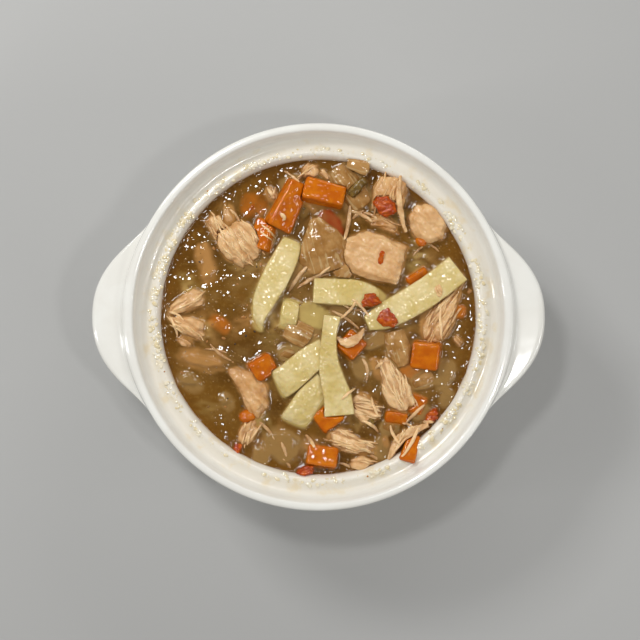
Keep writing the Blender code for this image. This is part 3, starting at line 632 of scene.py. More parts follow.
def makeFleshTree():
    # moves a smooth solid's surface in and out: lumps, long fibres along the grain, and creases between
    # bundles of them; how deep a point lies in a crease or between fibres is kept, and the materials paint it in as
    # shade
    lengths = ("Fibre Spacing", "Fibre Depth", "Bundle Size", "Crease Depth", "Lump Size", "Lump Depth")
    tree, make, given, result = newTree("flesh", "GeometryNodeTree", [
        *[(name, "NodeSocketFloat", 1.0) for name in lengths], ("Fibre Length", "NodeSocketFloat", 5.0),
        ("Grain", "NodeSocketFloat", 0.0), ("Pale", "NodeSocketFloat", 0.5), ("Seed", "NodeSocketFloat", 0.0),
        ("Crevice Colour", "NodeSocketFloat", 1.0), ("Warp", "NodeSocketFloat", 0.005), ("Material", "NodeSocketMaterial", None)])
    place = make.add("GeometryNodeInputPosition")
    seeded = make.vector("ADD", place, make.add("ShaderNodeCombineXYZ", given["Seed"], given["Seed"], 0.0))
    turned = make.add("ShaderNodeVectorRotate", seeded, None, None, rotation_type="Z_AXIS")
    make.feed(turned.inputs["Angle"], make.math("MULTIPLY", given["Grain"], -1.0))
    warp = make.math("MULTIPLY", make.math("SUBTRACT", make.noise(seeded, 130.0, 2.0), 0.5), given["Warp"])
    parts = make.add("ShaderNodeSeparateXYZ", turned)
    crosswise = make.math("ADD", parts.outputs["Y"], warp)
    stretched = make.add("ShaderNodeCombineXYZ", make.math("DIVIDE", parts.outputs["X"], given["Fibre Length"]),
                         crosswise, make.math("MULTIPLY", parts.outputs["Z"], 0.7))
    fibre = make.noise(stretched, make.math("DIVIDE", 1.0, given["Fibre Spacing"]), 3.0, 0.55)
    fibreSigned = make.math("MULTIPLY_ADD", fibre, 2.0, -1.0)
    bundled = make.add("ShaderNodeCombineXYZ", make.math("DIVIDE", parts.outputs["X"], 4.5), crosswise,
                       make.math("MULTIPLY", parts.outputs["Z"], 0.8))
    cells = make.add("ShaderNodeTexVoronoi", feature="DISTANCE_TO_EDGE")
    make.feed(cells.inputs["Vector"], bundled)
    make.feed(cells.inputs["Scale"], make.math("DIVIDE", 1.0, given["Bundle Size"]))
    ridge = make.ramp(cells.outputs["Distance"], 0.0, 0.26)
    groove = make.math("SUBTRACT", ridge, 1.0)
    lump = make.math("MULTIPLY_ADD", make.noise(seeded, make.math("DIVIDE", 1.0, given["Lump Size"]), 2.0), 2.0, -1.0)
    height = make.math("MULTIPLY", fibreSigned, given["Fibre Depth"])
    height = make.math("ADD", height, make.math("MULTIPLY", groove, given["Crease Depth"]))
    height = make.math("ADD", height, make.math("MULTIPLY", lump, given["Lump Depth"]))
    # painted shade: the creases and the dips between fibres get a darkness that the materials mix into the colour
    crevice = make.math("MULTIPLY_ADD", groove, -0.7, make.math("MULTIPLY_ADD", fibreSigned, -0.45, 0.15), use_clamp=True)
    crevice = make.math("MULTIPLY", crevice, given["Crevice Colour"])
    kept = make.add("GeometryNodeStoreNamedAttribute", given["Geometry"], data_type="FLOAT_VECTOR", domain="POINT")
    kept.inputs["Name"].default_value = "grainAt"
    make.feed(next(s for s in kept.inputs if s.name == "Value" and s.enabled), stretched)
    for name, value in (("crevice", crevice), ("pale", given["Pale"])):
        kept = make.add("GeometryNodeStoreNamedAttribute", kept, data_type="FLOAT", domain="POINT")
        kept.inputs["Name"].default_value = name
        make.feed(next(s for s in kept.inputs if s.name == "Value" and s.enabled), value)
    offset = make.vector("SCALE", make.add("GeometryNodeInputNormal"), None)
    make.feed(offset.inputs["Scale"], height)
    moved = make.add("GeometryNodeSetPosition", kept, None, None, offset)
    smooth = make.add("GeometryNodeSetShadeSmooth", moved)
    make.feed(result["Geometry"], make.add("GeometryNodeSetMaterial", smooth, None, given["Material"]))
    return tree


def makeStrandTree():
    # lays thin torn strands over a piece along its grain
    tree, make, given, result = newTree("strands", "GeometryNodeTree", [
        ("Density", "NodeSocketFloat", 1e5), ("Shortest", "NodeSocketFloat", 0.004), ("Longest", "NodeSocketFloat", 0.01),
        ("Thickness", "NodeSocketFloat", 0.0005), ("Grain", "NodeSocketFloat", 0.0), ("Spread", "NodeSocketFloat", 0.3),
        ("Pale", "NodeSocketFloat", 0.5), ("Seed", "NodeSocketInt", 0), ("Material", "NodeSocketMaterial", None)])
    meat = given["Geometry"]
    upward = make.add("ShaderNodeSeparateXYZ", make.add("GeometryNodeInputNormal"))
    facingUp = make.math("GREATER_THAN", upward.outputs["Z"], 0.25)
    points = make.add("GeometryNodeDistributePointsOnFaces", meat, distribute_method="RANDOM")
    make.feed(points.inputs["Selection"], facingUp)
    make.feed(points.inputs["Density"], given["Density"])
    make.feed(points.inputs["Seed"], given["Seed"])

    def chance(low, high, seed):
        return make.add("FunctionNodeRandomValue", low, high, None, seed, data_type="FLOAT")

    line = make.add("GeometryNodeCurvePrimitiveLine", (-0.5, 0, 0), (0.5, 0, 0))
    line = make.add("GeometryNodeResampleCurve", line, mode="COUNT")
    line.inputs["Count"].default_value = 7
    turn = make.math("ADD", given["Grain"], make.math("MULTIPLY", chance(-1.0, 1.0, 11), given["Spread"]))
    length = chance(given["Shortest"], given["Longest"], 12)
    spread = make.add("GeometryNodeInstanceOnPoints", points)
    make.feed(spread.inputs["Instance"], line)
    make.feed(spread.inputs["Rotation"], make.add("ShaderNodeCombineXYZ", 0.0, 0.0, turn))
    make.feed(spread.inputs["Scale"], make.add("ShaderNodeCombineXYZ", length, 1.0, 1.0))
    real = make.add("GeometryNodeRealizeInstances", spread)
    place = make.add("GeometryNodeInputPosition")
    drift = make.math("MULTIPLY_ADD", make.noise(place, 190.0, 1.0), 2.2 * mm, -1.1 * mm)
    swayed = make.vector("ADD", place, make.add("ShaderNodeCombineXYZ", drift, drift, 0.0))
    above = make.vector("ADD", swayed, make.add("ShaderNodeCombineXYZ", 0.0, 0.0, 6 * mm))
    hit = make.add("GeometryNodeRaycast")
    make.feed(hit.inputs["Target Geometry"], meat)
    make.feed(hit.inputs["Source Position"], above)
    make.feed(hit.inputs["Ray Direction"], make.add("ShaderNodeCombineXYZ", 0.0, 0.0, -1.0))
    hit.inputs["Ray Length"].default_value = 14 * mm
    onMeat = make.vector("ADD", hit.outputs["Hit Position"], make.add("ShaderNodeCombineXYZ", 0.0, 0.0, 0.05 * mm))
    drooped = make.vector("ADD", swayed, make.add("ShaderNodeCombineXYZ", 0.0, 0.0, -0.5 * mm))
    switch = make.add("GeometryNodeSwitch", input_type="VECTOR")
    make.feed(switch.inputs["Switch"], hit.outputs["Is Hit"])
    make.feed(switch.inputs["False"], drooped)
    make.feed(switch.inputs["True"], onMeat)
    laid = make.add("GeometryNodeSetPosition", real, None, switch)
    share = make.add("GeometryNodeSplineParameter").outputs["Factor"]
    taper = make.math("POWER", make.math("SINE", make.math("MULTIPLY_ADD", share, 2.9, 0.12)), 0.6)
    radius = make.math("MULTIPLY", make.math("MULTIPLY", taper, given["Thickness"]), 0.5)
    ring = make.add("GeometryNodeCurvePrimitiveCircle", 5, mode="RADIUS")
    ring.inputs["Radius"].default_value = 1.0
    tube = make.add("GeometryNodeCurveToMesh")
    make.feed(tube.inputs["Curve"], laid)
    make.feed(tube.inputs["Profile Curve"], ring)
    make.feed(tube.inputs["Scale"], radius)
    tube.inputs["Fill Caps"].default_value = True
    kept = tube
    # the strands get no painted crease shade, and are a little paler than their piece
    for name, value in (("crevice", 0.0), ("pale", make.math("ADD", given["Pale"], 0.15))):
        kept = make.add("GeometryNodeStoreNamedAttribute", kept, data_type="FLOAT", domain="POINT")
        kept.inputs["Name"].default_value = name
        make.feed(next(s for s in kept.inputs if s.name == "Value" and s.enabled), value)
    smooth = make.add("GeometryNodeSetShadeSmooth", kept)
    together = make.add("GeometryNodeJoinGeometry")
    make.feed(together.inputs["Geometry"], meat)
    make.feed(together.inputs["Geometry"], smooth)
    whole = make.add("GeometryNodeRealizeInstances", together)
    make.feed(result["Geometry"], make.add("GeometryNodeSetMaterial", whole, None, given["Material"]))
    return tree


def chickenMaterial():
    material, make, shader, at = newMaterial("cookedChicken", 0.3, subsurface=0.12)
    pale = attribute(make, "pale")
    blotch = useGroup(make, mottle, Vector=at, Size_mm=5.0, Low=0.36, High=0.62)
    tone = make.math("MULTIPLY_ADD", blotch, 0.45, make.math("MULTIPLY_ADD", pale, 0.9, 0.02), use_clamp=True)
    body = make.mix(tone, rgb(204, 148, 84), rgb(238, 200, 148))
    # painted shade: creases and the dips between fibres darkened towards brown
    body = make.mix(make.math("MULTIPLY", attribute(make, "crevice"), 0.8), body, rgb(170, 112, 54))
    specks = useGroup(make, mottle, Vector=at, Size_mm=1.3, Low=0.66, High=0.74)
    body = make.mix(make.math("MULTIPLY", specks, 0.4), body, rgb(130, 74, 32))
    wet = useGroup(make, soak, Vector=at, Reach_mm=3.4)
    body = make.mix(make.math("MULTIPLY", wet, 0.75), body, rgb(140, 88, 38))
    make.feed(shader.inputs["Base Color"], body)
    shine = make.math("MAXIMUM", make.math("MULTIPLY", blotch, 0.6), wet)
    make.feed(shader.inputs["Roughness"], make.ramp(shine, 0.0, 1.0, 0.36, 0.07))
    film = make.math("MULTIPLY", useGroup(make, wetFilm, Vector=at, Size_mm=2.0), 1.2)
    setBump(make, shader, make.math("MULTIPLY_ADD", useGroup(make, fineGrain, Vector=at, Size_mm=1.4), 0.25, film), 1.0, 0.4 * mm)
    return material


def vegetableMaterial(name, light, dark, sunk, size, roughness, subsurface, lines=None):
    material, make, shader, at = newMaterial(name, roughness, subsurface=subsurface)
    body = make.mix(useGroup(make, mottle, Vector=at, Size_mm=size, Low=0.36, High=0.64), light, dark)
    # painted shade: creases and fibre dips darkened towards the soaked tone
    body = make.mix(make.math("MULTIPLY", attribute(make, "crevice"), 0.5), body, sunk)
    if lines:
        vein = make.ramp(make.noise(attribute(make, "grainAt", "Vector"), 620.0, 1.0, 0.5), 0.56, 0.64)
        body = make.mix(make.math("MULTIPLY", vein, 0.55), body, lines)
    wet = useGroup(make, soak, Vector=at, Reach_mm=2.6)
    body = make.mix(make.math("MULTIPLY", wet, 0.7), body, sunk)
    make.feed(shader.inputs["Base Color"], body)
    setBump(make, shader, useGroup(make, wetFilm, Vector=at, Size_mm=2.4), 0.7, 0.6 * mm)
    return material


finishes = dict(
    chicken=chickenMaterial(),
    carrot=vegetableMaterial("cookedCarrot", rgb(206, 112, 2), rgb(190, 92, 0), rgb(124, 56, 2), 5.0, 0.1, 0.0),
    onion=vegetableMaterial("softOnion", rgb(184, 140, 84), rgb(156, 110, 54), rgb(118, 76, 26), 6.0, 0.07, 0.08,
                            lines=rgb(204, 174, 124)),
    tomato=vegetableMaterial("tomatoPulp", rgb(196, 92, 10), rgb(170, 58, 3), rgb(122, 42, 3), 2.4, 0.08, 0.0),
    celery=vegetableMaterial("celeryFlesh", rgb(130, 100, 40), rgb(96, 72, 24), rgb(76, 50, 16), 3.0, 0.22, 0.0,
                             lines=rgb(150, 124, 62)),
)
finishes["shred"] = finishes["chicken"]
fleshTree, strandTree = makeFleshTree(), makeStrandTree()


def mergedCopy(node, name):
    # the CAD node's loose triangles sewn into a closed mesh of its own
    mesh = bpy.data.objects[node].data.copy()
    bm = bmesh.new()
    bm.from_mesh(mesh)
    bmesh.ops.remove_doubles(bm, verts=bm.verts, dist=0.002 * mm)
    bm.to_mesh(mesh)
    bm.free()
    return newPiece(name, mesh)


def makeFood(node, seed):
    kind = node.split("_")[0]
    shape = foodShapes[kind]
    piece = mergedCopy(node, camel(node))
    remesh = piece.modifiers.new("even", "REMESH")
    remesh.mode, remesh.voxel_size = "VOXEL", shape["voxel"] * mm
    smooth = piece.modifiers.new("soft", "SMOOTH")
    smooth.factor, smooth.iterations = 0.5, shape["rounds"]
    grain, pale, torn = chickenMeat.get(node, (vegetableGrain.get(node, 0), 0.5, 0.0))
    sizes = {name: value * (1 if name == "Fibre Length" else mm) for name, value in shape.items() if " " in name}
    sizes["Warp"] = sizes.pop("Straight Warp", 5 * mm)
    # painted shade: how strongly each kind's creases are darkened in colour, most for torn chicken
    sizes["Crevice Colour"] = dict(carrot=0.2, onion=0.3, celery=0.5).get(kind, 0.8)
    if kind == "chicken":
        sizes["Crease Depth"] *= 0.1 + 0.9 * torn
        sizes["Fibre Depth"] *= 0.2 + 0.8 * torn
        sizes["Crevice Colour"] = 0.25 + 0.6 * torn
    addTree(piece, fleshTree, Grain=math.radians(grain), Pale=pale, Seed=seed * 0.31, Material=finishes[kind], **sizes)
    if torn > 0.4:
        addTree(piece, strandTree, Density=6.0e4 * torn, Shortest=4 * mm, Longest=11 * mm, Thickness=1.15 * mm,
                Grain=math.radians(grain), Spread=0.22, Pale=pale, Seed=seed, Material=finishes[kind])
    applied(piece)
    return dress(piece, finishes[kind], "chicken" if kind == "shred" else kind, node)


foodPieces = [makeFood(node, seed) for seed, node in enumerate(sorted(nodes))
              if node.split("_")[0] in foodShapes]
print("soup: food pieces", len(foodPieces), "with", sum(len(p.data.polygons) for p in foodPieces), "faces")


# ---- pieces just under the broth ----

# kind, middle, length and width, turn in degrees, top over the broth, height; all in mm
sunkPieces = {
    "sunkChickenLeft": ("chicken", (-52.5, 25.0), (22, 11), 100, 0.7, 7),
    "sunkChickenLow": ("chicken", (-54.6, -20.0), (26, 12.5), -10, 0.9, 7),
    "sunkOnionMiddle": ("onion", (-14.0, -17.2), (11.5, 8.4), -20, 0.9, 4),
    "sunkOnionRight": ("onion", (59.2, -27.6), (17.5, 9), 78, 0.8, 5),
    "sunkOnionBottom": ("onion", (-17.0, -60.0), (21, 16), -35, 0.7, 5),
    "sunkOnionBottomSmall": ("onion", (29.6, -61.6), (11.6, 8.4), 80, 0.9, 4),
    "sunkOnionEdge": ("onion", (47.8, -44.6), (8.6, 7.6), 10, 1.2, 4),
    "sunkNoodle": ("noodle", (-2.2, 0.8), (16, 11), -20, 0.9, 3),
    "sunkCarrotTop": ("carrot", (-30.0, 52.6), (14.5, 12.6), 10, -0.2, 5),
    "sunkCarrotLeft": ("carrot", (-46.6, -3.0), (12.4, 7.6), -35, 0.3, 5),
    "sunkCarrotRight": ("carrot", (66.6, 2.2), (7.2, 5.4), 85, 1.0, 5),
    "sunkCelery": ("celery", (-6.4, 49.0), (5.8, 4.8), 60, 1.4, 4),
    "sunkOnionLeft": ("onion", (-60.5, -30.5), (15, 9), -40, 0.3, 5),
    "sunkChickenMiddle": ("chicken", (28.0, -24.5), (12, 7), -60, 1.6, 5),
    "sunkOnionTop": ("onion", (-13.5, 63.5), (12, 6), 20, 0.6, 4),
    "sunkOnionNoodle": ("onion", (20.0, -24.0), (13, 9), -60, 0.8, 4),
    "sunkOnionFold": ("onion", (26.0, -11.0), (11, 8), 20, 0.9, 4),
    "sunkOnionShreds": ("onion", (11.0, 2.6), (13, 8), 10, 0.9, 4),
    "sunkOnionCore": ("onion", (-3.0, -9.5), (10, 8), 40, 1.0, 4),
    "sunkOnionCarrot": ("onion", (43.0, -25.0), (9, 6.4), -30, 1.0, 4),
    "sunkChickenBottom": ("chicken", (30.0, -60.4), (10, 6), 70, 1.2, 4),
    "sunkOnionSide": ("onion", (-27.0, -65.2), (9, 7), -20, 0.8, 4),
    "sunkChickenPale": ("chicken", (38.6, -43.4), (9, 5), 100, 1.4, 4),
    "sunkOnionPetal": ("onion", (-10.4, 21.0), (16, 8), 55, 1.0, 4),
    "sunkOnionWall": ("onion", (60.0, -38.0), (10, 6), 60, 0.7, 4),
    "sunkChickenWall": ("chicken", (66.8, 17.0), (9, 4.6), 80, 0.6, 4),
    "sunkOnionBean": ("onion", (-43.0, -40.0), (10, 7), -60, 0.4, 4),
    "tomatoBitLeft": ("tomato", (-38.4, -62.2), (6.8, 4.4), 60, 2.4, 3.4),
    "carrotBitRight": ("carrot", (48.4, 35.6), (5.2, 4.4), 30, 3.2, 4),
    "carrotBitLow": ("carrot", (-33.0, -46.4), (7.4, 5.2), 10, 2.6, 4),
    "tomatoBitBreast": ("tomato", (29.2, 27.6), (6.4, 2.8), 75, 6.4, 2.2),
    "celeryBitLow": ("celery", (24.4, -49.0), (4.2, 3.0), 20, 3.4, 3),
    "chickenNubRight": ("chicken", (65.0, -11.0), (6.4, 4.2), 125, 2.6, 5),
    "chickenNubLeft": ("chicken", (-63.0, -11.8), (7.6, 4.8), 145, 2.8, 5),
    "chickenNubTop": ("chicken", (3.2, 66.6), (6.8, 4.0), 140, 3.2, 5),
    "chickenBitNoodle": ("chicken", (56.2, 12.4), (7.0, 4.2), 110, 5.6, 3),
}
sunkShapes = dict(square=2.6, noodle=foodShapes["carrot"])


def makeSunkPiece(name, seed, kind, at, size, turn, top, height):
    # a flattened round block, its surface shaped like the other pieces of its kind
    bm = bmesh.new()
    bmesh.ops.create_icosphere(bm, subdivisions=5 if size[0] > 14 else 4, radius=1.0)
    power = sunkShapes["square"]
    for vert in bm.verts:
        x, y, z = vert.co
        squared = (abs(x) ** power + abs(y) ** power + abs(z) ** power) ** (-1 / power)
        vert.co = Vector((x * size[0] / 2, y * size[1] / 2, z * height / 2)) * squared * mm
    place = Vector((at[0] * mm, at[1] * mm, brothLevel + (top - height / 2) * mm))
    bmesh.ops.transform(bm, matrix=Matrix.Translation(place) @ Matrix.Rotation(math.radians(turn), 4, "Z"), verts=bm.verts)
    mesh = bpy.data.meshes.new(name)
    bm.to_mesh(mesh)
    bm.free()
    piece = newPiece(name, mesh)
    shape = foodShapes["carrot" if kind == "noodle" else kind]
    sizes = {key: value * (1 if key == "Fibre Length" else mm) for key, value in shape.items() if " " in key}
    sizes["Warp"] = sizes.pop("Straight Warp", 5 * mm)
    # painted shade in the creases, kept faint
    sizes["Crevice Colour"] = 0.3
    sizes["Lump Depth"] = 1.3 * mm
    sizes["Lump Size"] = 6 * mm
    material = cookedNoodle if kind == "noodle" else finishes[kind]
    addTree(piece, fleshTree, Grain=math.radians(turn), Pale=0.3, Seed=seed * 0.43, Material=material, **sizes)
    applied(piece)
    return dress(piece, material, kind)


for seed, (name, values) in enumerate(sunkPieces.items()):
    foodPieces.append(makeSunkPiece(name, seed + 3, *values))
print("soup: sunk pieces", len(sunkPieces))


# ---- loose shreds lying on top ----

looseShreds = dict(
    sections=12,
    around=8,
    # start, end, sideways bow and thickness, in mm
    paths=(
        ((41.0, -49.6), (49.8, -41.0), 0.3, 1.6), ((5.6, 3.2), (19.2, -5.8), 0.8, 1.5), ((9.6, -1.0), (17.8, 8.2), -1.0, 1.3),
        ((15.6, 8.4), (23.8, -0.4), 0.8, 1.3), ((11.4, 5.8), (22.2, 3.6), -1.2, 1.2), ((19.4, -18.0), (22.4, -30.2), 1.8, 1.7),
        ((39.2, -49.7), (44.6, -52.0), 0.4, 1.2), ((57.2, 5.0), (57.8, -11.0), -0.6, 1.5), ((-16.2, 68.6), (-9.0, 62.8), 0.3, 1.4),
        ((12.0, 36.0), (14.8, 52.4), -0.6, 1.9), ((14.8, 49.8), (25.6, 44.2), 0.9, 1.8), ((15.8, 46.0), (21.6, 50.2), 0.4, 1.5),
        ((21.0, 49.0), (27.4, 46.0), 0.6, 1.6), ((-17.6, -58.6), (-15.0, -65.6), 0.3, 1.6), ((-16.9, -66.2), (-13.0, -71.0), 0.3, 1.3),
        ((-6.2, -55.2), (-1.8, -60.9), 0.3, 1.9), ((20.4, -48.4), (28.2, -54.2), 0.9, 1.6), ((-29.2, -48.4), (-20.6, -57.6), 0.9, 1.5),
        ((-14.2, 11.8), (-5.2, 23.6), 0.6, 1.9), ((-10.2, 13.4), (6.0, 20.8), 1.0, 1.7), ((-6.4, 17.2), (5.6, 23.6), -0.8, 1.3),
        ((-26.8, 43.2), (-20.0, 36.8), 0.4, 1.0), ((-27.2, 40.6), (-21.6, 35.8), -0.4, 0.8), ((-17.8, 48.2), (-15.6, 45.0), 0.5, 1.9),
        ((-51.0, -12.6), (-40.8, -20.6), -0.8, 1.3), ((-53.4, -15.0), (-42.6, -17.0), 0.6, 1.1), ((50.6, 34.4), (56.6, 30.6), 0.6, 1.0),
        ((44.2, 28.6), (48.8, 33.0), 0.3, 1.0), ((-70.6, 2.6), (-62.8, -1.6), 0.8, 1.2), ((-70.2, 0.8), (-66.0, -9.8), 0.9, 1.4),
        ((33.6, -50.6), (38.4, -60.0), -0.8, 1.5), ((46.6, -51.2), (38.8, -65.2), 0.8, 1.6), ((47.8, -49.6), (54.6, -49.2), 0.4, 1.6),
        ((22.6, -64.2), (29.8, -68.2), 0.5, 1.6), ((9.6, -68.4), (16.6, -71.6), 0.5, 1.4), ((25.4, -26.0), (30.4, -21.0), 0.4, 1.4),
        ((24.6, -37.0), (28.2, -46.6), -0.5, 1.3), ((10.8, -38.6), (17.6, -33.2), 0.4, 1.2), ((62.4, -3.0), (67.2, 4.8), 0.4, 1.1),
        ((-41.6, 50.6), (-37.0, 44.8), 0.4, 1.3), ((-24.0, 60.2), (-20.6, 54.6), 0.4, 1.6), ((-20.2, 61.2), (-22.6, 55.0), 0.5, 1.2),
    ),
)


def foodTree(pieces):
    # what a downward ray can hit, and which piece each face belongs to
    points, faces, owner = [], [], []
    for number, piece in enumerate(pieces):
        start = len(points)
        points += [v.co.copy() for v in piece.data.vertices]
        faces += [[start + i for i in p.vertices] for p in piece.data.polygons]
        owner += [number] * len(piece.data.polygons)
    return BVHTree.FromPolygons(points, faces), owner


def makeLooseShreds(tree):
    chance = random.Random(12)
    points, faces = [], []
    sections, around = looseShreds["sections"], looseShreds["around"]
    for (startX, startY), (endX, endY), bow, thickness in looseShreds["paths"]:
        along2d = Vector((endX - startX, endY - startY))
        sideways = Vector((-along2d.y, along2d.x)).normalized()
        line = []
        for k in range(sections):
            t = k / (sections - 1)
            flat = Vector((startX, startY)) + along2d * t + sideways * (bow * 4 * t * (1 - t) + chance.uniform(-0.12, 0.12))
            hit = tree.ray_cast(Vector((flat.x * mm, flat.y * mm, brothLevel + 12 * mm)), Vector((0, 0, -1)), 0.02)[0]
            line.append([flat.x, flat.y, max(hit.z / mm if hit else 0, brothLevel / mm)])
        for _ in range(4):  # a shred doesn't follow every dip
            for k in range(1, sections - 1):
                line[k][2] = max(line[k][2], (line[k - 1][2] + line[k + 1][2]) / 2 - 0.05)
        start = len(points)
        for k, (x, y, z) in enumerate(line):
            t = k / (sections - 1)
            radius = thickness / 2 * math.sin(math.pi * (0.06 + 0.88 * t)) ** 0.45 * chance.uniform(0.85, 1.12)
            for m in range(around):
                angle = 2 * math.pi * m / around
                wide, high = radius * math.cos(angle) * 1.15, radius * math.sin(angle) * 0.8
                points.append((x * mm + sideways.x * wide * mm, y * mm + sideways.y * wide * mm, (z + radius * 0.45 + high) * mm))
        for k in range(sections - 1):
            for m in range(around):
                n = (m + 1) % around
                a, b = start + k * around, start + (k + 1) * around
                faces.append((a + m, a + n, b + n, b + m))
        faces += [tuple(start + m for m in range(around)), tuple(start + (sections - 1) * around + m for m in range(around))]
    piece = newPiece("looseShreds", meshOf("looseShreds", points, faces))
    facedOutwards(piece.data)
    piece.data.shade_smooth()
    subdivision = piece.modifiers.new("round", "SUBSURF")
    subdivision.levels = subdivision.render_levels = 1
    applied(piece)
    piece.data.attributes.new("pale", "FLOAT", "POINT").data.foreach_set("value", [0.75] * len(piece.data.vertices))
    return dress(piece, finishes["chicken"], "chicken")


topTree, _ = foodTree(foodPieces + noodlePieces)
shredsPiece = makeLooseShreds(topTree)
print("soup: loose shreds", len(shredsPiece.data.polygons), "faces")


# ---- broth ----

broth = dict(
    radius=73.85,  # reaches just into the wall's glaze
    rings=((73.5, 54.5), (72.2, 48), (65.1, 27.4), (43.6, 9.9)),  # radius and height down the wall
    floor=6.9,
    grid=298,
    clearness=1.0,  # depth at which a sunk piece has faded to about a third
    meniscus=(0.8, 1.1),  # rise and width at the pieces
    wallMeniscus=(1.0, 0.9),  # the same at the wall
    # height and width of the waves in the surface
    waves=((0.15, 2.6), (0.055, 1.15)),
    foam=(-37, 12, 19),  # middle and size of the patch where bubbles gather
    deepPieces=150,
)
sunkTones = dict(
    chicken=rgb(180, 130, 72), carrot=rgb(180, 100, 20), onion=rgb(148, 114, 64), tomato=rgb(150, 56, 14),
    noodle=rgb(190, 164, 96), celery=rgb(96, 72, 28), shred=rgb(186, 134, 74),
)


def discGrid(count):
    # a square grid pulled into a disc of radius 1 with cells of nearly equal size
    line = np.linspace(-1, 1, count + 1)
    a, b = np.meshgrid(line, line, indexing="ij")
    wide = np.abs(a) > np.abs(b)
    radius = np.where(wide, a, b)
    safe = np.where(radius == 0, 1, radius)
    angle = np.where(wide, math.pi / 4 * b / safe, math.pi / 2 - math.pi / 4 * a / safe)
    return radius * np.cos(angle), radius * np.sin(angle)


def blurred(field, sigma):
    # a soft copy of a grid of numbers; sigma is in cells
    reach = int(3 * sigma) + 1
    weights = np.exp(-0.5 * (np.arange(-reach, reach + 1) / sigma) ** 2)
    weights /= weights.sum()
    for axis in (0, 1):
        padded = np.pad(field, [(reach, reach) if k == axis else (0, 0) for k in (0, 1)], mode="edge")
        size = field.shape[axis]
        field = sum(w * np.take(padded, range(k, k + size), axis=axis) for k, w in enumerate(weights))
    return field


def lookDown(pieces, x, y):
    # the height of the first food below each point, and which piece it is
    tree, owner = foodTree(pieces)
    heights = np.full(x.shape, -1.0)
    which = np.full(x.shape, -1)
    down = Vector((0, 0, -1))
    top = brothLevel + 12 * mm
    for spot in np.ndindex(x.shape):
        hit, _, face, _ = tree.ray_cast(Vector((x[spot], y[spot], top)), down, 0.06)
        if hit is not None:
            heights[spot], which[spot] = hit.z, owner[face]
    return heights, which


def kindOf(piece):
    return next((kind for kind in sunkTones if kind in piece.name.lower()), "chicken")


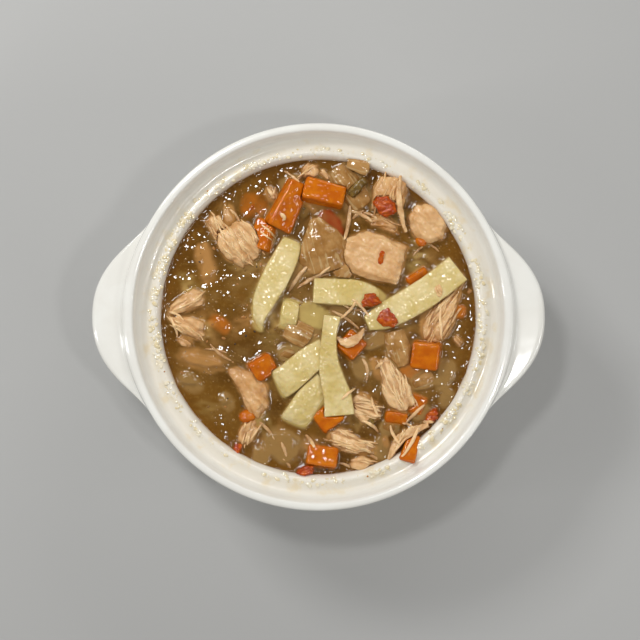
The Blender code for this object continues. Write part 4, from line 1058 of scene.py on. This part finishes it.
def makeBroth(material, pieces):
    unitX, unitY = discGrid(broth["grid"])
    x, y = unitX * broth["radius"] * mm, unitY * broth["radius"] * mm
    cell = 2 * broth["radius"] / broth["grid"]  # about the size of a cell, in mm
    heights, which = lookDown(pieces, x, y)
    depth = np.where(which >= 0, (brothLevel - heights) / mm, 99.0)
    above = (depth < -0.05).astype(float)
    seen = np.where(which >= 0, np.exp(-np.clip(depth, 0, 30) / broth["clearness"]), 0.0)
    tones = np.array([sunkTones[kindOf(piece)][:3] for piece in pieces] + [(0, 0, 0)])
    tone = tones[which] * seen[..., None]
    total = seen.copy()
    # soft shapes of what lies deeper
    chance = random.Random(7)
    grain = np.random.default_rng(8)
    swayX, swayY, broken = (blurred(grain.standard_normal(x.shape), size / cell) for size in (1.6, 1.6, 0.9))
    swayX, swayY, broken = (field / field.std() for field in (swayX, swayY, broken))
    for _ in range(broth["deepPieces"]):
        reach, angle = 68 * math.sqrt(chance.random()), chance.uniform(0, 2 * math.pi)
        atX, atY = reach * math.cos(angle), reach * math.sin(angle)
        length, width, turn = chance.uniform(5, 13), chance.uniform(3, 7), chance.uniform(0, math.pi)
        kind = chance.choice(("chicken", "onion", "onion", "onion", "chicken", "noodle"))
        offX, offY = x / mm - atX + swayX * 0.9, y / mm - atY + swayY * 0.9
        across, other = offX * math.cos(turn) + offY * math.sin(turn), offY * math.cos(turn) - offX * math.sin(turn)
        share = (across / length) ** 2 + (other / width) ** 2
        faint = chance.uniform(0.12, 0.42) * np.exp(-(share ** 1.8) * 2.0) * np.clip(0.8 + 0.35 * broken, 0, 1.5)
        tone += np.array(sunkTones[kind][:3]) * faint[..., None]
        total += faint
    soft = 0.45 / cell
    mask = blurred(above, broth["meniscus"][1] / cell)
    strength = np.clip(blurred(total, soft), 0, None)
    colour = np.stack([blurred(tone[..., k], soft) for k in range(3)], -1) / np.maximum(strength, 1e-4)[..., None]
    radius = np.hypot(x, y) / mm
    rise = broth["meniscus"][0] * np.clip(mask * 2.2, 0, 1.4)
    rise += broth["wallMeniscus"][0] * np.exp(-(broth["radius"] - radius) / broth["wallMeniscus"][1])
    ripple = np.random.default_rng(5)
    for height, width in broth["waves"]:
        wave = blurred(ripple.standard_normal(x.shape), width / cell)
        rise += height * wave / wave.std() * np.clip(1 - mask, 0, 1)
    count = broth["grid"] + 1
    points = [(px, py, brothLevel + r * mm) for px, py, r in zip(x.ravel(), y.ravel(), rise.ravel())]

    def at(i, j):
        return i * count + j

    last = count - 1
    faces = [(at(i, j), at(i + 1, j), at(i + 1, j + 1), at(i, j + 1)) for i in range(last) for j in range(last)]
    edge = ([at(i, 0) for i in range(last)] + [at(last, j) for j in range(last)]
            + [at(i, last) for i in range(last, 0, -1)] + [at(0, j) for j in range(last, 0, -1)])
    angles = [math.atan2(points[i][1], points[i][0]) for i in edge]
    rows = [edge]
    for ringRadius, height in broth["rings"]:
        start = len(points)
        points += [(ringRadius * mm * math.cos(a), ringRadius * mm * math.sin(a), height * mm) for a in angles]
        rows.append(list(range(start, start + len(edge))))
    middle = len(points)
    points.append((0, 0, broth["floor"] * mm))
    for upper, lower in zip(rows, rows[1:]):
        for k in range(len(edge)):
            n = (k + 1) % len(edge)
            faces.append((upper[k], lower[k], lower[n], upper[n]))
    faces += [(rows[-1][k], middle, rows[-1][(k + 1) % len(edge)]) for k in range(len(edge))]
    piece = newPiece("brothSurface", meshOf("brothSurface", points, faces))
    facedOutwards(piece.data)
    piece.data.shade_smooth()
    size = len(points)
    free = np.clip(1 - blurred(above, 0.3 / cell) * 1.6, 0, 1)

    def keep(name, kind, field, values):
        full = np.zeros((size, *values.shape[2:]), np.float32)
        full[: count * count] = values.reshape(count * count, *values.shape[2:])
        piece.data.attributes.new(name, kind, "POINT").data.foreach_set(field, full.ravel())

    keep("seen", "FLOAT", "value", np.clip(strength, 0, 1))
    foamX, foamY, foamSize = broth["foam"]
    foam = 0.3 + 1.2 * np.exp(-((x / mm - foamX) ** 2 + (y / mm - foamY) ** 2) / foamSize**2)
    keep("free", "FLOAT", "value", free * foam * (radius < 72.4))
    keep("tone", "FLOAT_COLOR", "color", np.concatenate([colour, np.ones((*colour.shape[:2], 1))], -1))
    return piece


def brothMaterial():
    material, make, shader, at = newMaterial("brownBroth", 0.03, ior=1.42)
    spot = make.add("ShaderNodeSeparateXYZ", at)
    radius = make.math("SQRT", make.math("ADD", make.math("POWER", spot.outputs["X"], 2.0),
                                         make.math("POWER", spot.outputs["Y"], 2.0)))
    body = make.mix(useGroup(make, mottle, Vector=at, Size_mm=22.0, Low=0.35, High=0.65),
                    rgb(114, 76, 18), rgb(94, 60, 8))
    cloud = make.math("MULTIPLY", make.ramp(radius, 66 * mm, 30 * mm),
                      useGroup(make, mottle, Vector=at, Size_mm=7.0, Low=0.4, High=0.7))
    body = make.mix(make.math("MULTIPLY", cloud, 0.6), body, rgb(132, 100, 52))
    body = make.mix(make.ramp(radius, 64 * mm, 73 * mm, 0.0, 0.45), body, rgb(112, 70, 10))
    fine = useGroup(make, mottle, Vector=at, Size_mm=1.6, Low=0.5, High=0.72)
    body = make.mix(make.math("MULTIPLY", fine, 0.3), body, rgb(146, 110, 50))
    body = make.mix(make.math("MULTIPLY", attribute(make, "seen"), 0.92), body, attribute(make, "tone", "Color"))
    make.feed(shader.inputs["Base Color"], body)
    setBump(make, shader, useGroup(make, wetFilm, Vector=at, Size_mm=2.6), 0.8, 0.35 * mm)
    return material


brownBroth = brothMaterial()
brothPiece = makeBroth(brownBroth, foodPieces + noodlePieces)
dress(brothPiece, brownBroth, "broth", "broth")
print("soup: broth", len(brothPiece.data.polygons), "faces")


# ---- small things scattered on the broth and the ledge ----

def makeScatterTree():
    # puts many small round or flat bits on a surface where its "free" value lets them lie
    tree, make, given, result = newTree("scatter", "GeometryNodeTree", [
        ("Density", "NodeSocketFloat", 1e5), ("Smallest", "NodeSocketFloat", 0.0003), ("Largest", "NodeSocketFloat", 0.0009),
        ("Flatness", "NodeSocketFloat", 0.4), ("Length", "NodeSocketFloat", 1.0), ("Tilt", "NodeSocketFloat", 0.0),
        ("Patch Size", "NodeSocketFloat", 0.01), ("Seed", "NodeSocketInt", 0), ("Material", "NodeSocketMaterial", None)])
    free = make.add("GeometryNodeInputNamedAttribute", data_type="FLOAT")
    free.inputs["Name"].default_value = "free"
    patches = make.noise(make.add("GeometryNodeInputPosition"), make.math("DIVIDE", 1.0, given["Patch Size"]), 2.0)
    wanted = make.math("MULTIPLY", make.math("MULTIPLY", free, make.ramp(patches, 0.36, 0.66)), given["Density"])
    points = make.add("GeometryNodeDistributePointsOnFaces", given["Geometry"], distribute_method="RANDOM")
    make.feed(points.inputs["Density"], wanted)
    make.feed(points.inputs["Seed"], given["Seed"])
    ball = make.add("GeometryNodeMeshUVSphere", 8, 5, 0.5)

    def chance(low, high, seed):
        return make.add("FunctionNodeRandomValue", low, high, None, seed, data_type="FLOAT")

    small = make.math("POWER", chance(0.0, 1.0, 21), 2.4)
    size = make.math("ADD", given["Smallest"], make.math("MULTIPLY", small, make.math("SUBTRACT", given["Largest"], given["Smallest"])))
    scale = make.add("ShaderNodeCombineXYZ", make.math("MULTIPLY", size, given["Length"]), size,
                     make.math("MULTIPLY", size, given["Flatness"]))
    tilt = make.math("MULTIPLY", chance(-1.0, 1.0, 22), given["Tilt"])
    placed = make.add("GeometryNodeInstanceOnPoints", points)
    make.feed(placed.inputs["Instance"], ball.outputs["Mesh"])
    make.feed(placed.inputs["Rotation"], make.add("ShaderNodeCombineXYZ", tilt, 0.0, chance(0.0, 6.283, 23)))
    make.feed(placed.inputs["Scale"], scale)
    real = make.add("GeometryNodeRealizeInstances", placed)
    smooth = make.add("GeometryNodeSetShadeSmooth", real)
    make.feed(result["Geometry"], make.add("GeometryNodeSetMaterial", smooth, None, given["Material"]))
    return tree


def plainMaterial(name, light, dark, size, roughness, coat=0.3, bump=0.2):
    material, make, shader, at = newMaterial(name, roughness, coat=coat)
    body = make.mix(useGroup(make, mottle, Vector=at, Size_mm=size, Low=0.35, High=0.65), light, dark)
    make.feed(shader.inputs["Base Color"], body)
    setBump(make, shader, useGroup(make, fineGrain, Vector=at, Size_mm=0.5), bump, 0.1 * mm)
    return material


def scattered(name, base, material, slot, **values):
    piece = newPiece(name, base.copy())
    addTree(piece, scatterTree, Material=material, **values)
    applied(piece)
    dress(piece, material, slot)
    return piece


# the ledge's grease: radius of its band, and the angles where it's thickest
grease = dict(inner=74.9, outer=78.8, middles=(150, -15), spread=62)


def ledgeMesh():
    # a copy of the bowl's mesh that says where the ledge is greasy
    mesh = bowlPiece.data.copy()
    spots = pointsOf(mesh) / mm
    radius = np.hypot(spots[:, 0], spots[:, 1])
    angle = np.degrees(np.arctan2(spots[:, 1], spots[:, 0]))
    band = (radius > grease["inner"]) & (radius < grease["outer"]) & (spots[:, 2] > 60)
    weight = np.full(len(spots), 0.12)
    for middle in grease["middles"]:
        off = np.abs((angle - middle + 180) % 360 - 180)
        weight += np.exp(-((off / grease["spread"]) ** 2) * 1.5)
    mesh.attributes.new("free", "FLOAT", "POINT").data.foreach_set("value", (weight * band).astype(np.float32))
    return mesh


scatterTree = makeScatterTree()
ledge = ledgeMesh()
greaseFilm = plainMaterial("greaseFilm", rgb(236, 228, 206), rgb(226, 208, 164), 3.0, 0.05, 1.0)
brownSpeck = plainMaterial("brownSpeck", rgb(150, 92, 30), rgb(196, 140, 60), 1.5, 0.3)
oilBubble = plainMaterial("oilBubble", rgb(150, 112, 56), rgb(120, 84, 34), 1.5, 0.04, 1.0)
pepperAndHerb = plainMaterial("pepperAndHerb", rgb(44, 26, 12), rgb(70, 46, 16), 0.8, 0.4)
scatters = [
    scattered("brothBubbles", brothPiece.data, oilBubble, "broth", Density=3.0e5, Smallest=0.4 * mm, Largest=1.5 * mm,
              Flatness=0.35, Seed=3, **{"Patch Size": 11 * mm}),
    scattered("brothHerbs", brothPiece.data, pepperAndHerb, "celery", Density=1.4e4, Smallest=0.4 * mm,
              Largest=1.1 * mm, Flatness=0.5, Length=1.3, Tilt=0.5, Seed=5, **{"Patch Size": 20 * mm}),
    scattered("brothCrumbs", brothPiece.data, finishes["chicken"], "chicken", Density=3.0e4, Smallest=0.5 * mm,
              Largest=2.2 * mm, Flatness=0.5, Length=1.5, Tilt=0.3, Seed=9, **{"Patch Size": 9 * mm}),
    scattered("ledgeGrease", ledge, greaseFilm, "stoneware", Density=1.5e6, Smallest=0.4 * mm, Largest=2.2 * mm,
              Flatness=0.4, Length=1.4, Seed=13, **{"Patch Size": 5 * mm}),
    scattered("ledgeSpecks", ledge, brownSpeck, "chicken", Density=2.6e4, Smallest=0.3 * mm, Largest=1.0 * mm,
              Flatness=0.5, Length=1.2, Seed=17, **{"Patch Size": 30 * mm}),
]
bpy.data.meshes.remove(ledge)
print("soup: scattered bits", [len(piece.data.polygons) // 40 for piece in scatters])


# ---- camera, floor and light ----

camera = dict(height=0.82, frameWidth=0.2954, planeHeight=0.07, sensor=36.0, shift=(0.00234, -0.00469))
studio = dict(
    floorColour=rgb(178, 178, 176),
    world=((1.0, 0.985, 0.96, 1.0), 0.22),
    # name, place, aim, size, energy
    lights=(
        ("windowLight", (-0.46, 0.48, 0.66), (0, 0, 0.05), (0.24, 0.18), 3.2),
        ("stripLeft", (-0.66, -0.10, 0.40), (0, 0, 0.06), (0.05, 0.6), 0.8),
        ("stripRight", (0.56, -0.30, 0.50), (0, 0, 0.06), (0.6, 0.05), 1.3),
        ("glintTop", (-0.17, 0.25, 0.95), (0, 0, 0.06), (0.10, 0.07), 1.7),
        ("glintRight", (0.26, -0.10, 0.95), (0, 0, 0.06), (0.05, 0.08), 0.9),
        ("back", (0.30, 0.75, 0.55), (0, 0, 0.06), (0.5, 0.2), 1.4),
    ),
)


def aim(thing, target):
    thing.rotation_euler = (Vector(target) - thing.location).to_track_quat("-Z", "Y").to_euler()


def makeStudio():
    scene = bpy.context.scene
    lens = camera["sensor"] * (camera["height"] - camera["planeHeight"]) / camera["frameWidth"]
    data = bpy.data.cameras.new("camera")
    data.sensor_width, data.lens = camera["sensor"], lens
    data.shift_x, data.shift_y = camera["shift"]
    eye = bpy.data.objects.new("camera", data)
    eye.location = (0, 0, camera["height"])
    scene.collection.objects.link(eye)
    scene.camera = eye
    scene.view_settings.view_transform = "Standard"
    world = bpy.data.worlds.new("studio")
    world.use_nodes = True
    background = world.node_tree.nodes["Background"]
    background.inputs["Color"].default_value, background.inputs["Strength"].default_value = studio["world"]
    scene.world = world
    for name, place, target, size, energy in studio["lights"]:
        light = bpy.data.lights.new(name, "AREA")
        light.shape, light.energy = "RECTANGLE", energy
        light.size, light.size_y = size
        lamp = bpy.data.objects.new(name, light)
        lamp.location = place
        aim(lamp, target)
        scene.collection.objects.link(lamp)
    floor = newPiece("floor", meshOf("floor", [(-3, -3, 0), (3, -3, 0), (3, 3, 0), (-3, 3, 0)], [(0, 1, 2, 3)]))
    surface, make, shader, at = newMaterial("paleFloor", 0.6)
    shader.inputs["Base Color"].default_value = studio["floorColour"]
    floor.data.materials.append(surface)


makeStudio()
